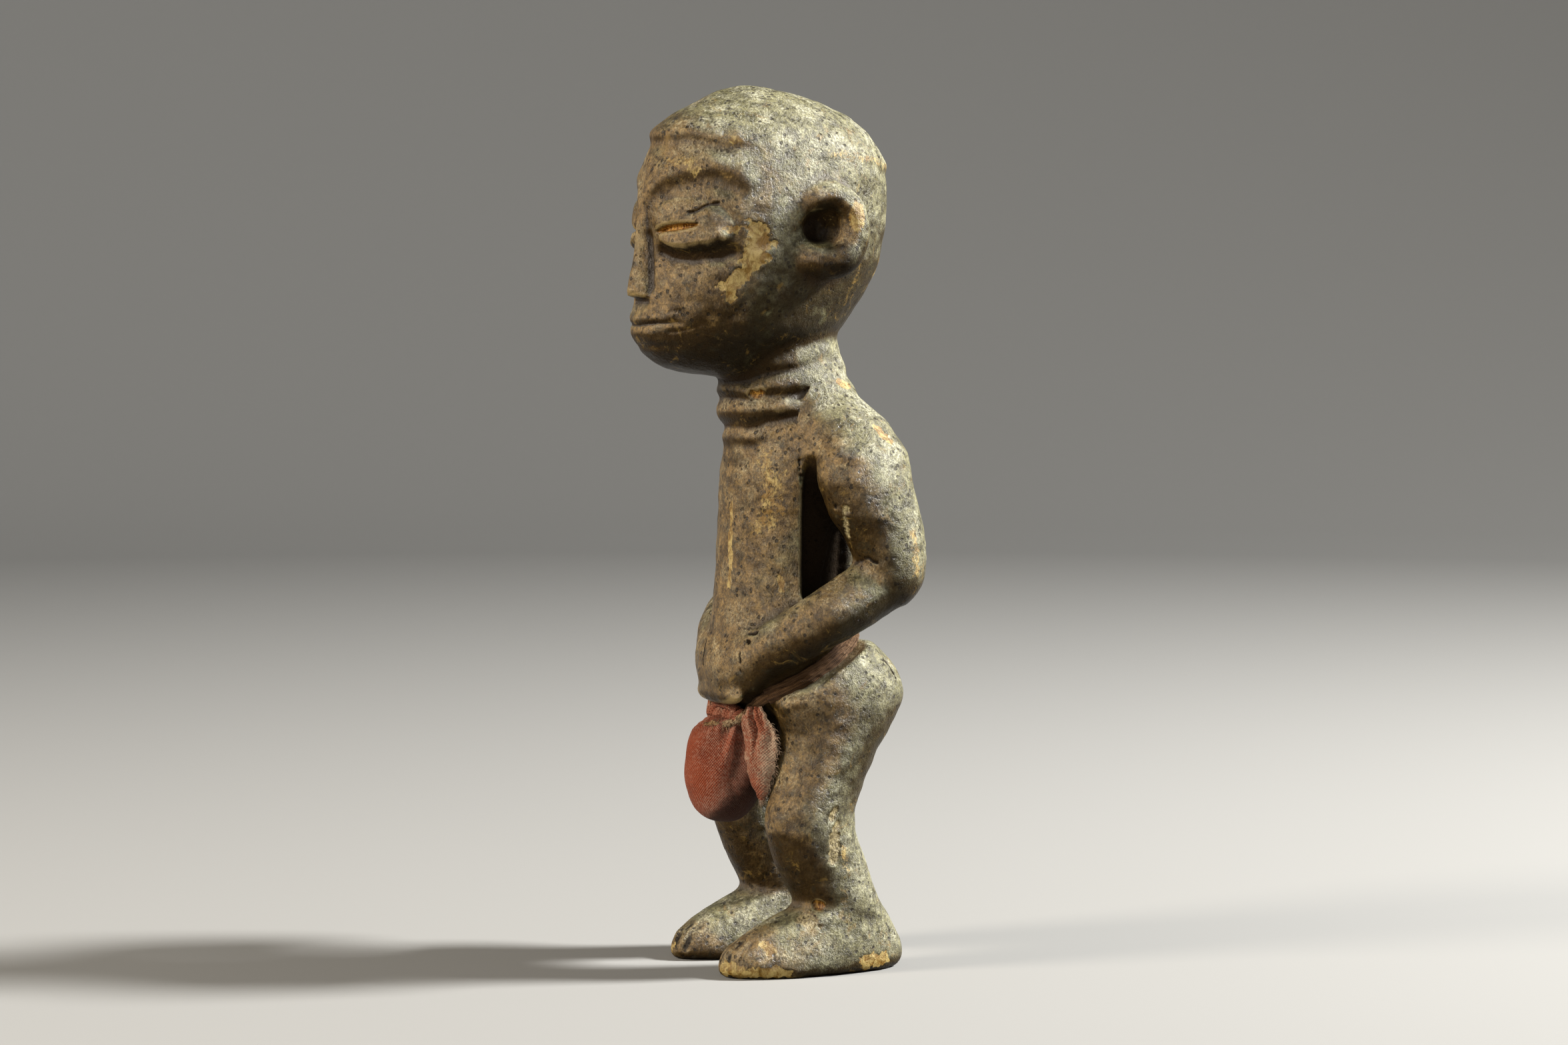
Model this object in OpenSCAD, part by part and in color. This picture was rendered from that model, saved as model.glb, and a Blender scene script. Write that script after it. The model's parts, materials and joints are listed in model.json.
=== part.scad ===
// Carved fertility doll: a standing wooden figure with its hands on its belly, wearing a
// tied cloth loincloth whose stuffed pouch hangs from a cord and can be lifted forward.
// Millimetres, +Z up. The figure faces -Y, its left side is +X, and its soles rest on Z = 0.

/* [Figure] */
// Height of the figure, from the soles to the top of the head
figure_h = 283; // [255:1:311]
// Distance between the middles of the two feet
stance = 41; // [38:1:44]
// Length of one foot
foot_l = 65; // [61:1:69]

/* [Loincloth] */
// Diameter of the stuffed pouch
pouch_d = 26.5; // [24:0.5:27]
// Length of the pouch from the cord down to its lowest point
pouch_drop = 35; // [30:1:37]
// Diameter of the cord that the pouch hangs from
cord_d = 2.8; // [2:0.2:3]
// Width of the cloth waist band
band_w = 5; // [4:0.5:6]
// Tilt of the waist band: it sits higher at the back
band_tilt = 30; // [28:1:32]

/* [Hidden] */

CRUST = "#8c8770";
SHADED_CRUST = "#6d6450";
RED_CLOTH = "#a84a35";
TAN_CLOTH = "#a58a62";
KAPOK = "#d8c8a4";

unit = figure_h / 283;          // every size below is for a figure 283 mm tall
sides = 24;                     // sides of a carved slice
skin = 0.02;                    // thickness of a carved slice
big = 400;

// Heights where one carved zone meets the next
ankle_z = 22;
knee_z = 49;
crotch_z = 65;
waist_z = 98;

// Where the two hands meet on the belly, a little to the figure's left
hands_meet_x = 10;

// Waist band: half sizes of the waist inside it, and its thickness
waist_a = 25.2;
waist_b = 23.4;
band_t = 2.4;
band_gap_x = 19;                // the band's two front ends, where the cord takes over

// Tie cord, which is also the pouch's hinge
cord_y = -20;
cord_z = 81.5;
cord_half = 12.6;
hem_r = 2.8;
hem_half = 10.8;
ball_y = cord_y - 2;            // the stuffed ball bulges forward of the cord
bore_gap = 0.1;
cloth_t = 1.2;
flap_t = 1.4;
flap_turn = 38;                 // turn of the flap towards the thigh, in degrees
flap_x = 12.6;
flap_y = -20;

// A station is [x, y, z, half width, half depth] of one flat oval slice.
HEAD = [
    [0, -14, 192.5, 9, 12], [0, -19, 195, 12.5, 18.5], [0, -21.5, 197, 15, 22.5],
    [0, -22, 200.6, 18.5, 26.5], [0, -18, 205, 23, 32.6], [0, -16.5, 209, 25.5, 34.2],
    [0, -12.7, 218, 28.5, 36.4], [0, -9.3, 228.6, 31, 38.7], [0, -8.3, 241, 32, 40.2],
    [0, -8.3, 248, 31.6, 40.3], [0, -7.3, 258.8, 30.5, 39.4], [0, -7.6, 265, 28.6, 36.4],
    [0, -8.7, 269, 26.6, 34.8], [0, -8.9, 274, 21.5, 28.3], [0, -9.6, 278, 15.5, 20.2],
    [0, -11.5, 281, 9.5, 12.4], [0, -13, 283, 3, 3]
];
NECK = [
    [0, 1, 164, 22, 21], [0, 0.5, 170, 20.3, 19.8], [0, 0, 176, 20.5, 20.5], [0, 0, 184, 20.7, 20.7],
    [0, -1, 193, 19.4, 19.2], [0, -3, 202, 18.3, 18.2], [0, -4, 212, 17, 17]
];
TORSO = [
    [0, 4.5, 181, 19, 14], [0, 4, 176.5, 26, 17.2], [0, 3.5, 171.5, 29, 19.3],
    [0, 3, 166, 29.8, 21.4], [0, 2.6, 160, 29, 22.6], [0, 1.5, 148, 27.6, 22.4],
    [0, 0.6, 138, 27, 22.2], [0, -0.2, 128, 26.6, 22], [0, -0.9, 119, 26.6, 22.2],
    [0, -1.4, 110, 27, 22.7], [0, -1.6, 102, 27, 22.8], [0, -1.2, 94, 26.4, 22.2],
    [0, -0.2, 87, 24.6, 20], [0, 2.2, 80.5, 21.5, 16.6], [0, 4.4, 74, 16, 13], [0, 5, 68, 9, 10],
    [0, 5, 64.5, 5, 7]
];
LEG = [
    [16, 6, 109.5, 9, 10], [18.5, 7.8, 105.5, 12.8, 14.6], [20, 8.8, 99, 15.2, 19.3],
    [20.5, 9.2, 93, 16, 21.6], [20.5, 9.2, 88, 16, 22.4], [20.5, 8.8, 83, 15.8, 20.6],
    [20.5, 8, 78, 15.6, 18.4], [20.5, 5.4, 71, 15, 16.2], [20.5, 3, 64, 14.4, 15.3],
    [21, 0.6, 57.5, 13.8, 14.7], [21.3, -1.2, 52, 13.3, 14.5], [21.3, -1, 46.5, 13.2, 14.9],
    [21.2, 0.6, 41, 12.9, 14.8], [21, 3.1, 35, 12.6, 15.2], [20.8, 6, 28.5, 12.3, 14.7],
    [20.7, 9.2, ankle_z, 12.3, 14.3]
];
FOOT = [
    [20.7, 9.2, ankle_z, 12.3, 14.3], [20.6, 8.2, 19.8, 12, 16.9], [20.4, 4.9, 16, 12.2, 22.7],
    [20.3, 2.6, 12.3, 12.7, 27.3], [20.2, 0.7, 8.3, 13.2, 31.3], [20.2, -0.2, 3.8, 13.3, 32.5],
    [20.2, -0.5, 1.4, 12.9, 31.6], [20.2, -0.8, -1, 11.6, 29]
];
UPPER_ARM = [
    [14, 8.5, 187, 6, 6], [20, 10, 181.5, 8, 8.2], [26.5, 12, 176, 10, 11], [32, 11.8, 171.5, 11, 13],
    [34.8, 11.4, 167, 11.8, 15], [36, 11.6, 159, 12.3, 15.8], [37, 14.4, 148, 11.8, 15.2],
    [37.5, 17.6, 141, 11.2, 13.2], [37.8, 19.4, 134.5, 10.9, 12], [37.8, 19.6, 128, 10.5, 11.3],
    [37.4, 19.4, 123, 9.2, 9.6], [36.8, 18.6, 119, 6.2, 6.6]
];

// A bead is [x, y, z, half size in x, in y, in z] of one rounded lump.
FOREARM = [
    [37, 18, 127, 9.6, 9.6, 9.2], [36.6, 8.5, 121.5, 9.6, 9.6, 9.8], [34.6, 0.4, 116, 9.2, 9.2, 9.6],
    [30.6, -7, 111, 8.2, 8.2, 9], [25.5, -12.6, 106.6, 7.2, 7.2, 8.6], [19.8, -16.6, 102.6, 6, 6, 8.8]
];
HAND = [
    [19.8, -16.6, 102.6, 6, 6, 8.8], [15.5, -19.2, 99.6, 6, 5.6, 10.8], [11, -20.8, 97, 5.6, 5.8, 12.2],
    [6, -22, 96.4, 5, 5.6, 11.6]
];
FAR_HAND = [
    [19.8, -16.6, 102.6, 6, 6, 8.8], [15.5, -19.2, 99.6, 6, 5.6, 10.8], [8, -21.2, 97, 6, 5.8, 12],
    [0, -22.4, 96.4, 6, 5.6, 11.8], [-8, -22, 96.4, 5, 5.6, 11.6]
];

// The figure is moved so that its box is centred on Y = 0.
front_y = min([for (s = HEAD) s[1] - s[4]]);
back_y = max([for (s = FOOT) s[1] + s[4]]) * foot_l / 65;
centre_y = -unit * (front_y + back_y) / 2;

ear_z = 238.5;
ear_beads = 11;

function ease(t) = t * t * (3 - 2 * t);

module oval(s) {
    translate([s[0], s[1], s[2]]) scale([s[3], s[4], 1])
        linear_extrude(skin, center = true) circle(1, $fn = sides);
}

// A carved form: each pair of neighbouring slices is joined.
module carved(stations) {
    scale(unit) for (i = [0 : len(stations) - 2]) hull() {
        oval(stations[i]);
        oval(stations[i + 1]);
    }
}

module bead(b) {
    translate([b[0], b[1], b[2]]) scale([b[3], b[4], b[5]]) sphere(1, $fn = 16);
}

module beaded(beads) {
    scale(unit) for (i = [0 : len(beads) - 2]) hull() {
        bead(beads[i]);
        bead(beads[i + 1]);
    }
}

// Everything between two heights
module layer(low, high) {
    scale(unit) translate([-big / 2, -big / 2, low]) cube([big, big, high - low]);
}

// The waist's own frame: its middle, tilted like the band
module at_waist() {
    scale(unit) translate([0, -1, waist_z]) rotate([band_tilt, 0, 0]) children();
}

module above_waist() {
    at_waist() translate([-big / 2, -big / 2, 0]) cube(big);
}

module below_waist() {
    at_waist() translate([-big / 2, -big / 2, -big]) cube(big);
}

module waist_oval(grow, height) {
    linear_extrude(height, center = true) scale([waist_a + grow, waist_b + grow]) circle(1, $fn = 72);
}

// The shallow crease that the band lies in
module waist_crease() {
    at_waist() difference() {
        waist_oval(9, band_w + 0.4);
        waist_oval(-0.05, band_w + 1);
    }
}

module mirrored(side) {
    mirror([side < 0 ? 1 : 0, 0, 0]) children();
}

// Moves a leg outwards or inwards for a wider or narrower stance
module stanced(side) {
    translate([side * (stance - 41) / 2, 0, 0]) mirrored(side) children();
}

module leg(side) {
    stanced(side) carved(LEG);
}

// --- the carving -------------------------------------------------------------------------

module head() {
    color(CRUST) carved(HEAD);
}

module ear(side) {
    color(CRUST) difference() {
        scale(unit) mirrored(side) for (i = [0 : ear_beads - 2]) hull() {
            ear_bead(i);
            ear_bead(i + 1);
        }
        carved(HEAD);
    }
}

// The ear's rim runs from its top front corner, round the back, to the lobe.
module ear_bead(i) {
    turn = 130 - 250 * i / (ear_beads - 1);
    swell = 2.7 + 1.3 * ease(i / (ear_beads - 1));
    lift = 30.4 + 2.6 * (1 + cos(turn));
    bead([lift, 7.8 * cos(turn) + 0.2, ear_z + 11 * sin(turn), swell + 0.6, swell, swell]);
}

module neck() {
    color(CRUST) difference() {
        carved(NECK);
        carved(HEAD);
        carved(TORSO);
    }
}

module torso() {
    color(CRUST) difference() {
        intersection() {
            carved(TORSO);
            above_waist();
        }
        waist_crease();
    }
}

module hips() {
    color(CRUST) difference() {
        intersection() {
            union() {
                carved(TORSO);
                leg(1);
                leg(-1);
            }
            below_waist();
            layer(crotch_z, 2 * waist_z);
        }
        waist_crease();
    }
}

module upper_arm(side) {
    color(CRUST) difference() {
        mirrored(side) carved(UPPER_ARM);
        carved(TORSO);
        carved(NECK);
    }
}

module forearm(side) {
    color(CRUST) difference() {
        mirrored(side) beaded(FOREARM);
        mirrored(side) carved(UPPER_ARM);
        carved(TORSO);
        waist_crease();
    }
}

module hand(side) {
    color(CRUST) difference() {
        intersection() {
            mirrored(side) beaded(side > 0 ? HAND : FAR_HAND);
            scale(unit) translate([side > 0 ? hands_meet_x : hands_meet_x - big, -big / 2, 0]) cube(big);
        }
        mirrored(side) beaded(FOREARM);
        carved(TORSO);
        waist_crease();
    }
}

module thigh(side) {
    color(CRUST) intersection() {
        leg(side);
        layer(knee_z, crotch_z);
    }
}

module calf(side) {
    color(CRUST) intersection() {
        leg(side);
        layer(ankle_z, knee_z);
    }
}

module foot(side) {
    color(SHADED_CRUST) intersection() {
        stanced(side) scale([1, foot_l / 65, 1]) carved(FOOT);
        layer(0, ankle_z);
    }
}

// --- the loincloth -----------------------------------------------------------------------

module waist_band() {
    color(TAN_CLOTH) difference() {
        at_waist() difference() {
            waist_oval(band_t, band_w);
            waist_oval(0, band_w + 1);
        }
        scale(unit) translate([-band_gap_x, -big, 0]) cube([2 * band_gap_x, big, big]);
    }
}

// The knot where the band's ends are tied at the back
module band_knot() {
    color(TAN_CLOTH) difference() {
        at_waist() for (side = [-1, 1]) hull() {
            translate([0, waist_b + band_t + 1.3, -0.4]) sphere(2.5, $fn = 24);
            translate([side * 4, waist_b + band_t + 0.9, -1]) sphere(2.1, $fn = 24);
        }
        at_waist() waist_oval(band_t, 3 * band_w);
    }
}

module along_cord(half, r) {
    translate([-half, cord_y, cord_z]) rotate([0, 90, 0]) cylinder(h = 2 * half, r = r, $fn = 48);
}

module cord_end(side) {
    bend = [side * cord_half, cord_y, cord_z];
    middle = [side * (cord_half + 2.4), cord_y + 0.6, cord_z + 2.2];
    finish = [side * (cord_half + 7.4), cord_y + 2.9, cord_z + 7.4];
    hull() {
        translate(bend) sphere(cord_d / 2, $fn = 20);
        translate(middle) sphere(cord_d / 2, $fn = 20);
    }
    hull() {
        translate(middle) sphere(cord_d / 2, $fn = 20);
        translate(finish) sphere(cord_d / 2, $fn = 20);
    }
}

module tie_cord() {
    color(TAN_CLOTH) scale(unit) intersection() {
        union() {
            along_cord(cord_half, cord_d / 2);
            cord_end(1);
            cord_end(-1);
        }
        translate([-band_gap_x, -big / 2, 0]) cube([2 * band_gap_x, big, big]);
    }
}

// The rolled hem that the cord runs through
module pouch_hem() {
    color(TAN_CLOTH) scale(unit) difference() {
        along_cord(hem_half, hem_r);
        along_cord(hem_half + 1, cord_d / 2 + bore_gap);
    }
}

// A stuffed ball, as a turned outline of half an oval
module ball(inset) {
    r = pouch_d / 2 - inset;
    half_h = pouch_drop / 2 + 0.5 - inset;
    steps = 16;
    translate([0, ball_y, cord_z - pouch_drop / 2 + 0.5]) rotate_extrude($fn = 48)
        polygon([for (i = [0 : steps]) let (a = -90 + 180 * i / steps)
            [i % steps == 0 ? 0 : r * cos(a), half_h * sin(a)]]);
}

module stuffing_shape() {
    difference() {
        ball(cloth_t);
        along_cord(big / 2, hem_r + cloth_t);
    }
}

module pouch_cover() {
    color(RED_CLOTH) scale(unit) difference() {
        ball(0);
        stuffing_shape();
        along_cord(big / 2, hem_r);
    }
}

module pouch_stuffing() {
    color(KAPOK) scale(unit) stuffing_shape();
}

// The loose pleated corner of cloth beside the pouch, lying along the thigh: a leaf that
// narrows downwards
module flap(side) {
    color(RED_CLOTH) scale(unit) mirrored(side) translate([flap_x, flap_y, cord_z])
        rotate([90, 0, flap_turn]) linear_extrude(flap_t) offset(0.8, $fn = 24) polygon([
            [2.4, -2], [7, -1.2], [11, -3], [11.8, -9], [9.4, -17], [6.2, -23.4], [4.4, -19], [2.6, -10]
        ]);
}

module placed() {
    translate([0, centre_y, 0]) children();
}

placed() {
    head();
    ear(1);  // left_ear
    ear(-1);  // right_ear
    neck();
    torso();
    hips();
    upper_arm(1);  // left_upper_arm
    upper_arm(-1);  // right_upper_arm
    forearm(1);  // left_forearm
    forearm(-1);  // right_forearm
    hand(1);  // left_hand
    hand(-1);  // right_hand
    thigh(1);  // left_thigh
    thigh(-1);  // right_thigh
    calf(1);  // left_calf
    calf(-1);  // right_calf
    foot(1);  // left_foot
    foot(-1);  // right_foot
    waist_band();
    band_knot();
    tie_cord();
    pouch_hem();
    pouch_cover();
    pouch_stuffing();
    flap(1);  // left_flap
    flap(-1);  // right_flap
}
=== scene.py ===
"""Looks of the carved doll. The wood is a distance field, carved and worn in code, then meshed."""
import json
import math
import bpy
import numpy as np
import openvdb as vdb
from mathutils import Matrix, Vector


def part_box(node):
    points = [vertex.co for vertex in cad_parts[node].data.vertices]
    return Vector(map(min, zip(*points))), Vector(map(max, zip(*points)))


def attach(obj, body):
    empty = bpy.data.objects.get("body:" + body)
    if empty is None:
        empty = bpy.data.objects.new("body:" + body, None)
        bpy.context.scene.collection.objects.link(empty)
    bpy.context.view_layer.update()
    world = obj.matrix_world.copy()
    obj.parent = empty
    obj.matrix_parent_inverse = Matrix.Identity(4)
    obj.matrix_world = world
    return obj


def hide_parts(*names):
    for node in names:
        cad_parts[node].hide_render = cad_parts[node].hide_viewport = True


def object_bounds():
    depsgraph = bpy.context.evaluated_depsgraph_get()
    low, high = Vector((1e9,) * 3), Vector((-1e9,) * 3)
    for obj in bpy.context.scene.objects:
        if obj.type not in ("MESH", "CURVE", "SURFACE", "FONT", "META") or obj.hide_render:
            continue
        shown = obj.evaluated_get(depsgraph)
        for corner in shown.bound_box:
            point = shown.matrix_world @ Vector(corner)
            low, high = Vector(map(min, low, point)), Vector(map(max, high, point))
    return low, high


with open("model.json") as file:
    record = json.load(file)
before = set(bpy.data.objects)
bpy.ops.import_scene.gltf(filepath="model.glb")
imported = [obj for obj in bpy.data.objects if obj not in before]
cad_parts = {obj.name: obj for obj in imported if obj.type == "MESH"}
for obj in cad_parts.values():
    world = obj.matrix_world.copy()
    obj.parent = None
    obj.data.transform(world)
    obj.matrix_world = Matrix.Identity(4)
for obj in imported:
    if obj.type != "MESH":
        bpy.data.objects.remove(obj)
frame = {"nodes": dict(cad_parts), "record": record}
cad_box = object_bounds()

UP = Vector((0, 0, 1))
AZIMUTH = math.radians(66)
TOWARDS = Vector((math.sin(AZIMUTH), -math.cos(AZIMUTH), 0))     # from the figure to the camera
BESIDE = Vector((math.cos(AZIMUTH), math.sin(AZIMUTH), 0))       # to the camera's right
LENS = 92.3                         # focal length in mm, on a sensor 36 mm wide
CAMERA_AWAY, CAMERA_HEIGHT = 1.3, 0.222
AIM = Vector((0, 0, 0.144)) + 0.008 * BESIDE
LIT = Vector((0, 0, 0.15))          # where the lights point
PAPER = (0.27, 0.27, 0.265, 1)
SKY, SKY_STRENGTH = (0.95, 0.97, 1.0, 1), 0.10

CLOTH = ("waist_band", "band_knot", "tie_cord", "pouch_hem", "pouch_cover", "pouch_stuffing",
         "left_flap", "right_flap")
WOOD = [name for name in frame["nodes"] if name not in CLOTH]


# --- camera, floor and lights ------------------------------------------------------------

def link(name, data):
    made = bpy.data.objects.new(name, data)
    bpy.context.collection.objects.link(made)
    return made


def aimed(made, place, target):
    made.location = place
    made.rotation_euler = (target - place).to_track_quat("-Z", "Y").to_euler()
    return made


def make_camera():
    data = bpy.data.cameras.new("Camera")
    data.sensor_width = 36
    data.lens = LENS
    camera = link("Camera", data)
    aimed(camera, CAMERA_AWAY * TOWARDS + CAMERA_HEIGHT * UP, AIM)
    bpy.context.scene.camera = camera


def make_light(name, place, size, power, colour):
    data = bpy.data.lights.new(name, "AREA")
    data.shape = "DISK"
    data.size = size
    data.energy = power
    data.color = colour
    return aimed(link(name, data), place, LIT)


def make_stage():
    """A round pale floor that curves up into a backdrop on every side."""
    flat, bend, top, around = 2.0, 1.2, 3.2, 96
    profile = [(0.02, 0.0), (0.4, 0.0), (flat, 0.0)]
    steps = 12
    for step in range(1, steps + 1):
        angle = math.radians(90 / steps * step)
        profile.append((flat + bend * math.sin(angle), bend * (1 - math.cos(angle))))
    profile.append((flat + bend, top))
    turns = [2 * math.pi * step / around for step in range(around)]
    points = [(r * math.cos(turn), r * math.sin(turn), z) for r, z in profile for turn in turns]
    faces = [tuple(range(around))]
    for ring in range(len(profile) - 1):
        for step in range(around):
            after = (step + 1) % around
            corners = (step, around + step, around + after, after)
            faces.append(tuple(ring * around + corner for corner in corners))
    mesh = bpy.data.meshes.new("Floor")
    mesh.from_pydata(points, [], faces)
    for face in mesh.polygons:
        face.use_smooth = True
    floor = link("Floor", mesh)
    material = bpy.data.materials.new("floor_paper")
    material.use_nodes = True
    shader = material.node_tree.nodes["Principled BSDF"]
    shader.inputs["Base Color"].default_value = PAPER
    shader.inputs["Roughness"].default_value = 0.95
    shader.inputs["Specular IOR Level"].default_value = 0.1
    mesh.materials.append(material)
    world = bpy.data.worlds.new("World")
    world.use_nodes = True
    background = world.node_tree.nodes["Background"]
    background.inputs["Color"].default_value = SKY
    background.inputs["Strength"].default_value = SKY_STRENGTH
    bpy.context.scene.world = world
    make_light("Key", 1.55 * BESIDE - 0.10 * TOWARDS + 1.30 * UP, 0.34, 128, (1.0, 0.98, 0.94))
    make_light("Left", -1.35 * BESIDE + 0.55 * TOWARDS + 0.85 * UP, 0.45, 29, (1.0, 0.90, 0.76))
    make_light("Front", 0.15 * BESIDE + 1.60 * TOWARDS + 0.95 * UP, 0.80, 2.5, (1.0, 0.96, 0.90))


# --- distance fields, in millimetres -----------------------------------------------------

COARSE = 1.0
CELL = COARSE / 2
REACH = 6.0
ORIGIN = np.array([math.floor(v * 1000) - 8 for v in cad_box[0]], np.float64)
COUNT = np.array([math.ceil(v * 1000) + 9 for v in cad_box[1]]) - ORIGIN.astype(int)


def box_mm(name):
    low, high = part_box(name)
    return np.array(low) * 1000, np.array(high) * 1000


def ramp(x, low, high):
    """0 below low, 1 above high, and smooth between; the other way round if low is above high."""
    t = np.clip((x - low) / (high - low), 0, 1)
    return t * t * (3 - 2 * t)


def bell(x, width):
    """1 at zero, fading out either side over a width."""
    return np.exp(-(x / width) ** 2)


def node_mesh(name):
    """The points of a CAD node in mm, and its triangles."""
    mesh = frame["nodes"][name].data
    mesh.calc_loop_triangles()
    points = np.empty(len(mesh.vertices) * 3, np.float32)
    mesh.vertices.foreach_get("co", points)
    corners = np.empty(len(mesh.loop_triangles) * 3, np.int32)
    mesh.loop_triangles.foreach_get("vertices", corners)
    return points.reshape(-1, 3) * 1000, corners.reshape(-1, 3)


def solid_field(points, start, shape, triangles=None, quads=None):
    """Signed distance to a closed surface, on the coarse cells from start."""
    cells = np.ascontiguousarray((points - ORIGIN) / COARSE, np.float32)
    faces = {}
    if triangles is not None and len(triangles):
        faces["triangles"] = np.ascontiguousarray(triangles, np.uint32)
    if quads is not None and len(quads):
        faces["quads"] = np.ascontiguousarray(quads, np.uint32)
    grid = vdb.FloatGrid.createLevelSetFromPolygons(
        cells, transform=vdb.createLinearTransform(1.0), halfWidth=REACH / COARSE, **faces)
    field = np.empty(shape, np.float32)
    grid.copyToArray(field, tuple(int(v) for v in start))
    return field * COARSE


def surface_of(field, level):
    """The mesh where a field has a level, in cells."""
    grid = vdb.FloatGrid(background=float(field.max()))
    grid.copyFromArray(field)
    return grid.convertToPolygons(isovalue=level)


def blur(field, sigma):
    """Gaussian blur, with sigma in cells."""
    reach = int(3 * sigma + 0.5)
    weights = np.exp(-0.5 * (np.arange(-reach, reach + 1) / sigma) ** 2)
    weights /= weights.sum()
    for axis in range(3):
        wide = np.pad(field, [(reach, reach) if a == axis else (0, 0) for a in range(3)], mode="edge")
        field = np.zeros_like(field)
        for i, weight in enumerate(weights):
            cut = [slice(None)] * 3
            cut[axis] = slice(i, i + field.shape[axis])
            field += np.float32(weight) * wide[tuple(cut)]
    return field


def refine(field):
    """The same field on cells half as big."""
    for axis in range(3):
        field = np.moveaxis(field, axis, 0)
        finer = np.empty((2 * len(field) - 1, *field.shape[1:]), np.float32)
        finer[::2] = field
        finer[1::2] = (field[:-1] + field[1:]) / 2
        field = np.moveaxis(finer, 0, axis)
    return np.ascontiguousarray(field)


def between(field, low, part):
    """Values between a cell's eight corners: low is its first corner, and part is how far past it, 0 to 1."""
    value = 0
    for corner in range(8):
        step = [corner >> 2 & 1, corner >> 1 & 1, corner & 1]
        weight = 1
        for axis in range(3):
            weight = weight * (part[:, axis] if step[axis] else 1 - part[:, axis])
        value = value + weight * field[tuple(low[:, axis] + step[axis] for axis in range(3))]
    return value


def sample(field, cell, start, points):
    """Values of a field at points in mm, between its cells."""
    spot = (points - ORIGIN) / cell - start
    spot = np.clip(spot, 0, np.array(field.shape) - 1.001)
    low = spot.astype(np.int32)
    return between(field, low, (spot - low).astype(np.float32))


def noise(points, size, seed):
    """Smooth random values from -1 to 1, in lumps of about the given size."""
    count = 48
    lattice = np.random.default_rng(seed).uniform(-1, 1, (count + 1,) * 3).astype(np.float32)
    for axis in range(3):
        wrap = [slice(None)] * 3
        wrap[axis] = count
        first = [slice(None)] * 3
        first[axis] = 0
        lattice[tuple(wrap)] = lattice[tuple(first)]
    spot = np.mod(points / size, count)
    low = np.minimum(spot.astype(np.int32), count - 1)
    part = (spot - low).astype(np.float32)
    return between(lattice, low, part * part * (3 - 2 * part))


def to_path(points, path):
    """Distance from each point to a chain of straight runs, and how far along it that is, 0 to 1."""
    path = np.asarray(path, np.float32)
    runs = np.linalg.norm(np.diff(path, axis=0), axis=1)
    total = max(runs.sum(), 1e-6)
    best = np.full(len(points), np.inf, np.float32)
    place = np.zeros(len(points), np.float32)
    before = 0.0
    for start, end, run in zip(path[:-1], path[1:], runs):
        along = np.clip((points - start) @ (end - start) / max(run * run, 1e-6), 0, 1)
        gap = np.linalg.norm(points - (start + along[:, None] * (end - start)), axis=1)
        nearer = gap < best
        best[nearer] = gap[nearer]
        place[nearer] = ((before + along * run) / total)[nearer]
        before += run
    return best, place


# --- the carving's relief ------------------------------------------------------------------

class Marks:
    """What the tool and the wear did at each point: push is mm into the wood, or out of it where
    negative, and the rest are finishes from 0 to 1. The darkest finish is partly painted shade."""

    FINISHES = ("raw", "ochre", "soot_and_shade", "bare")

    def __init__(self, points):
        self.points = points
        self.push = np.zeros(len(points), np.float32)
        for finish in self.FINISHES:
            setattr(self, finish, np.zeros(len(points), np.float32))

    def part(self, chosen):
        which = np.flatnonzero(chosen)
        made = Marks(self.points[which])
        made.which = which
        return made

    def near(self, path, reach):
        """The points within reach of a path's box, in mm."""
        return self.part(((self.points > path.min(0) - reach) & (self.points < path.max(0) + reach)).all(1))

    def take(self, part):
        self.push[part.which] += part.push
        for finish in self.FINISHES:
            whole = getattr(self, finish)
            whole[part.which] = np.maximum(whole[part.which], getattr(part, finish))

    def finish(self, name, amount):
        setattr(self, name, np.maximum(getattr(self, name), amount))


HEAD_LOW, HEAD_HIGH = box_mm("head")
HEAD_MIDDLE = (HEAD_LOW + HEAD_HIGH) / 2
HEAD_HALF = (HEAD_HIGH - HEAD_LOW) / 2
PER_DEGREE = 0.628                  # mm along the head's skin for one degree of turn


def turn_of(points, middle, half):
    """Degrees round an upright form from the middle of its front, the same on both sides."""
    x = np.abs(points[:, 0]) / half[0]
    y = (points[:, 1] - middle[1]) / half[1]
    return np.degrees(np.arctan2(x, -y))


def chart(turns_and_heights):
    """Places on the head's skin, in mm round it and mm up, from degrees round it and mm up."""
    return [(turn * PER_DEGREE, z) for turn, z in turns_and_heights]


def stroke(skin, path, width, depth):
    """A tool stroke along a path on a chart of the skin, fading out near its ends."""
    gap, along = to_path(skin, path)
    return depth * bell(gap, width) * ramp(along, 0, 0.12) * ramp(1 - along, 0, 0.12)


def dome(skin, middle, half, height, slant=0.0, edge=0.8):
    """A low rounded lump on a chart of the skin."""
    u = (skin[:, 0] - middle[0]) / half[0]
    v = (skin[:, 1] - middle[1] - slant * (skin[:, 0] - middle[0])) / half[1]
    return -height * np.clip(1 - u * u - v * v, 0, 1) ** edge


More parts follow.
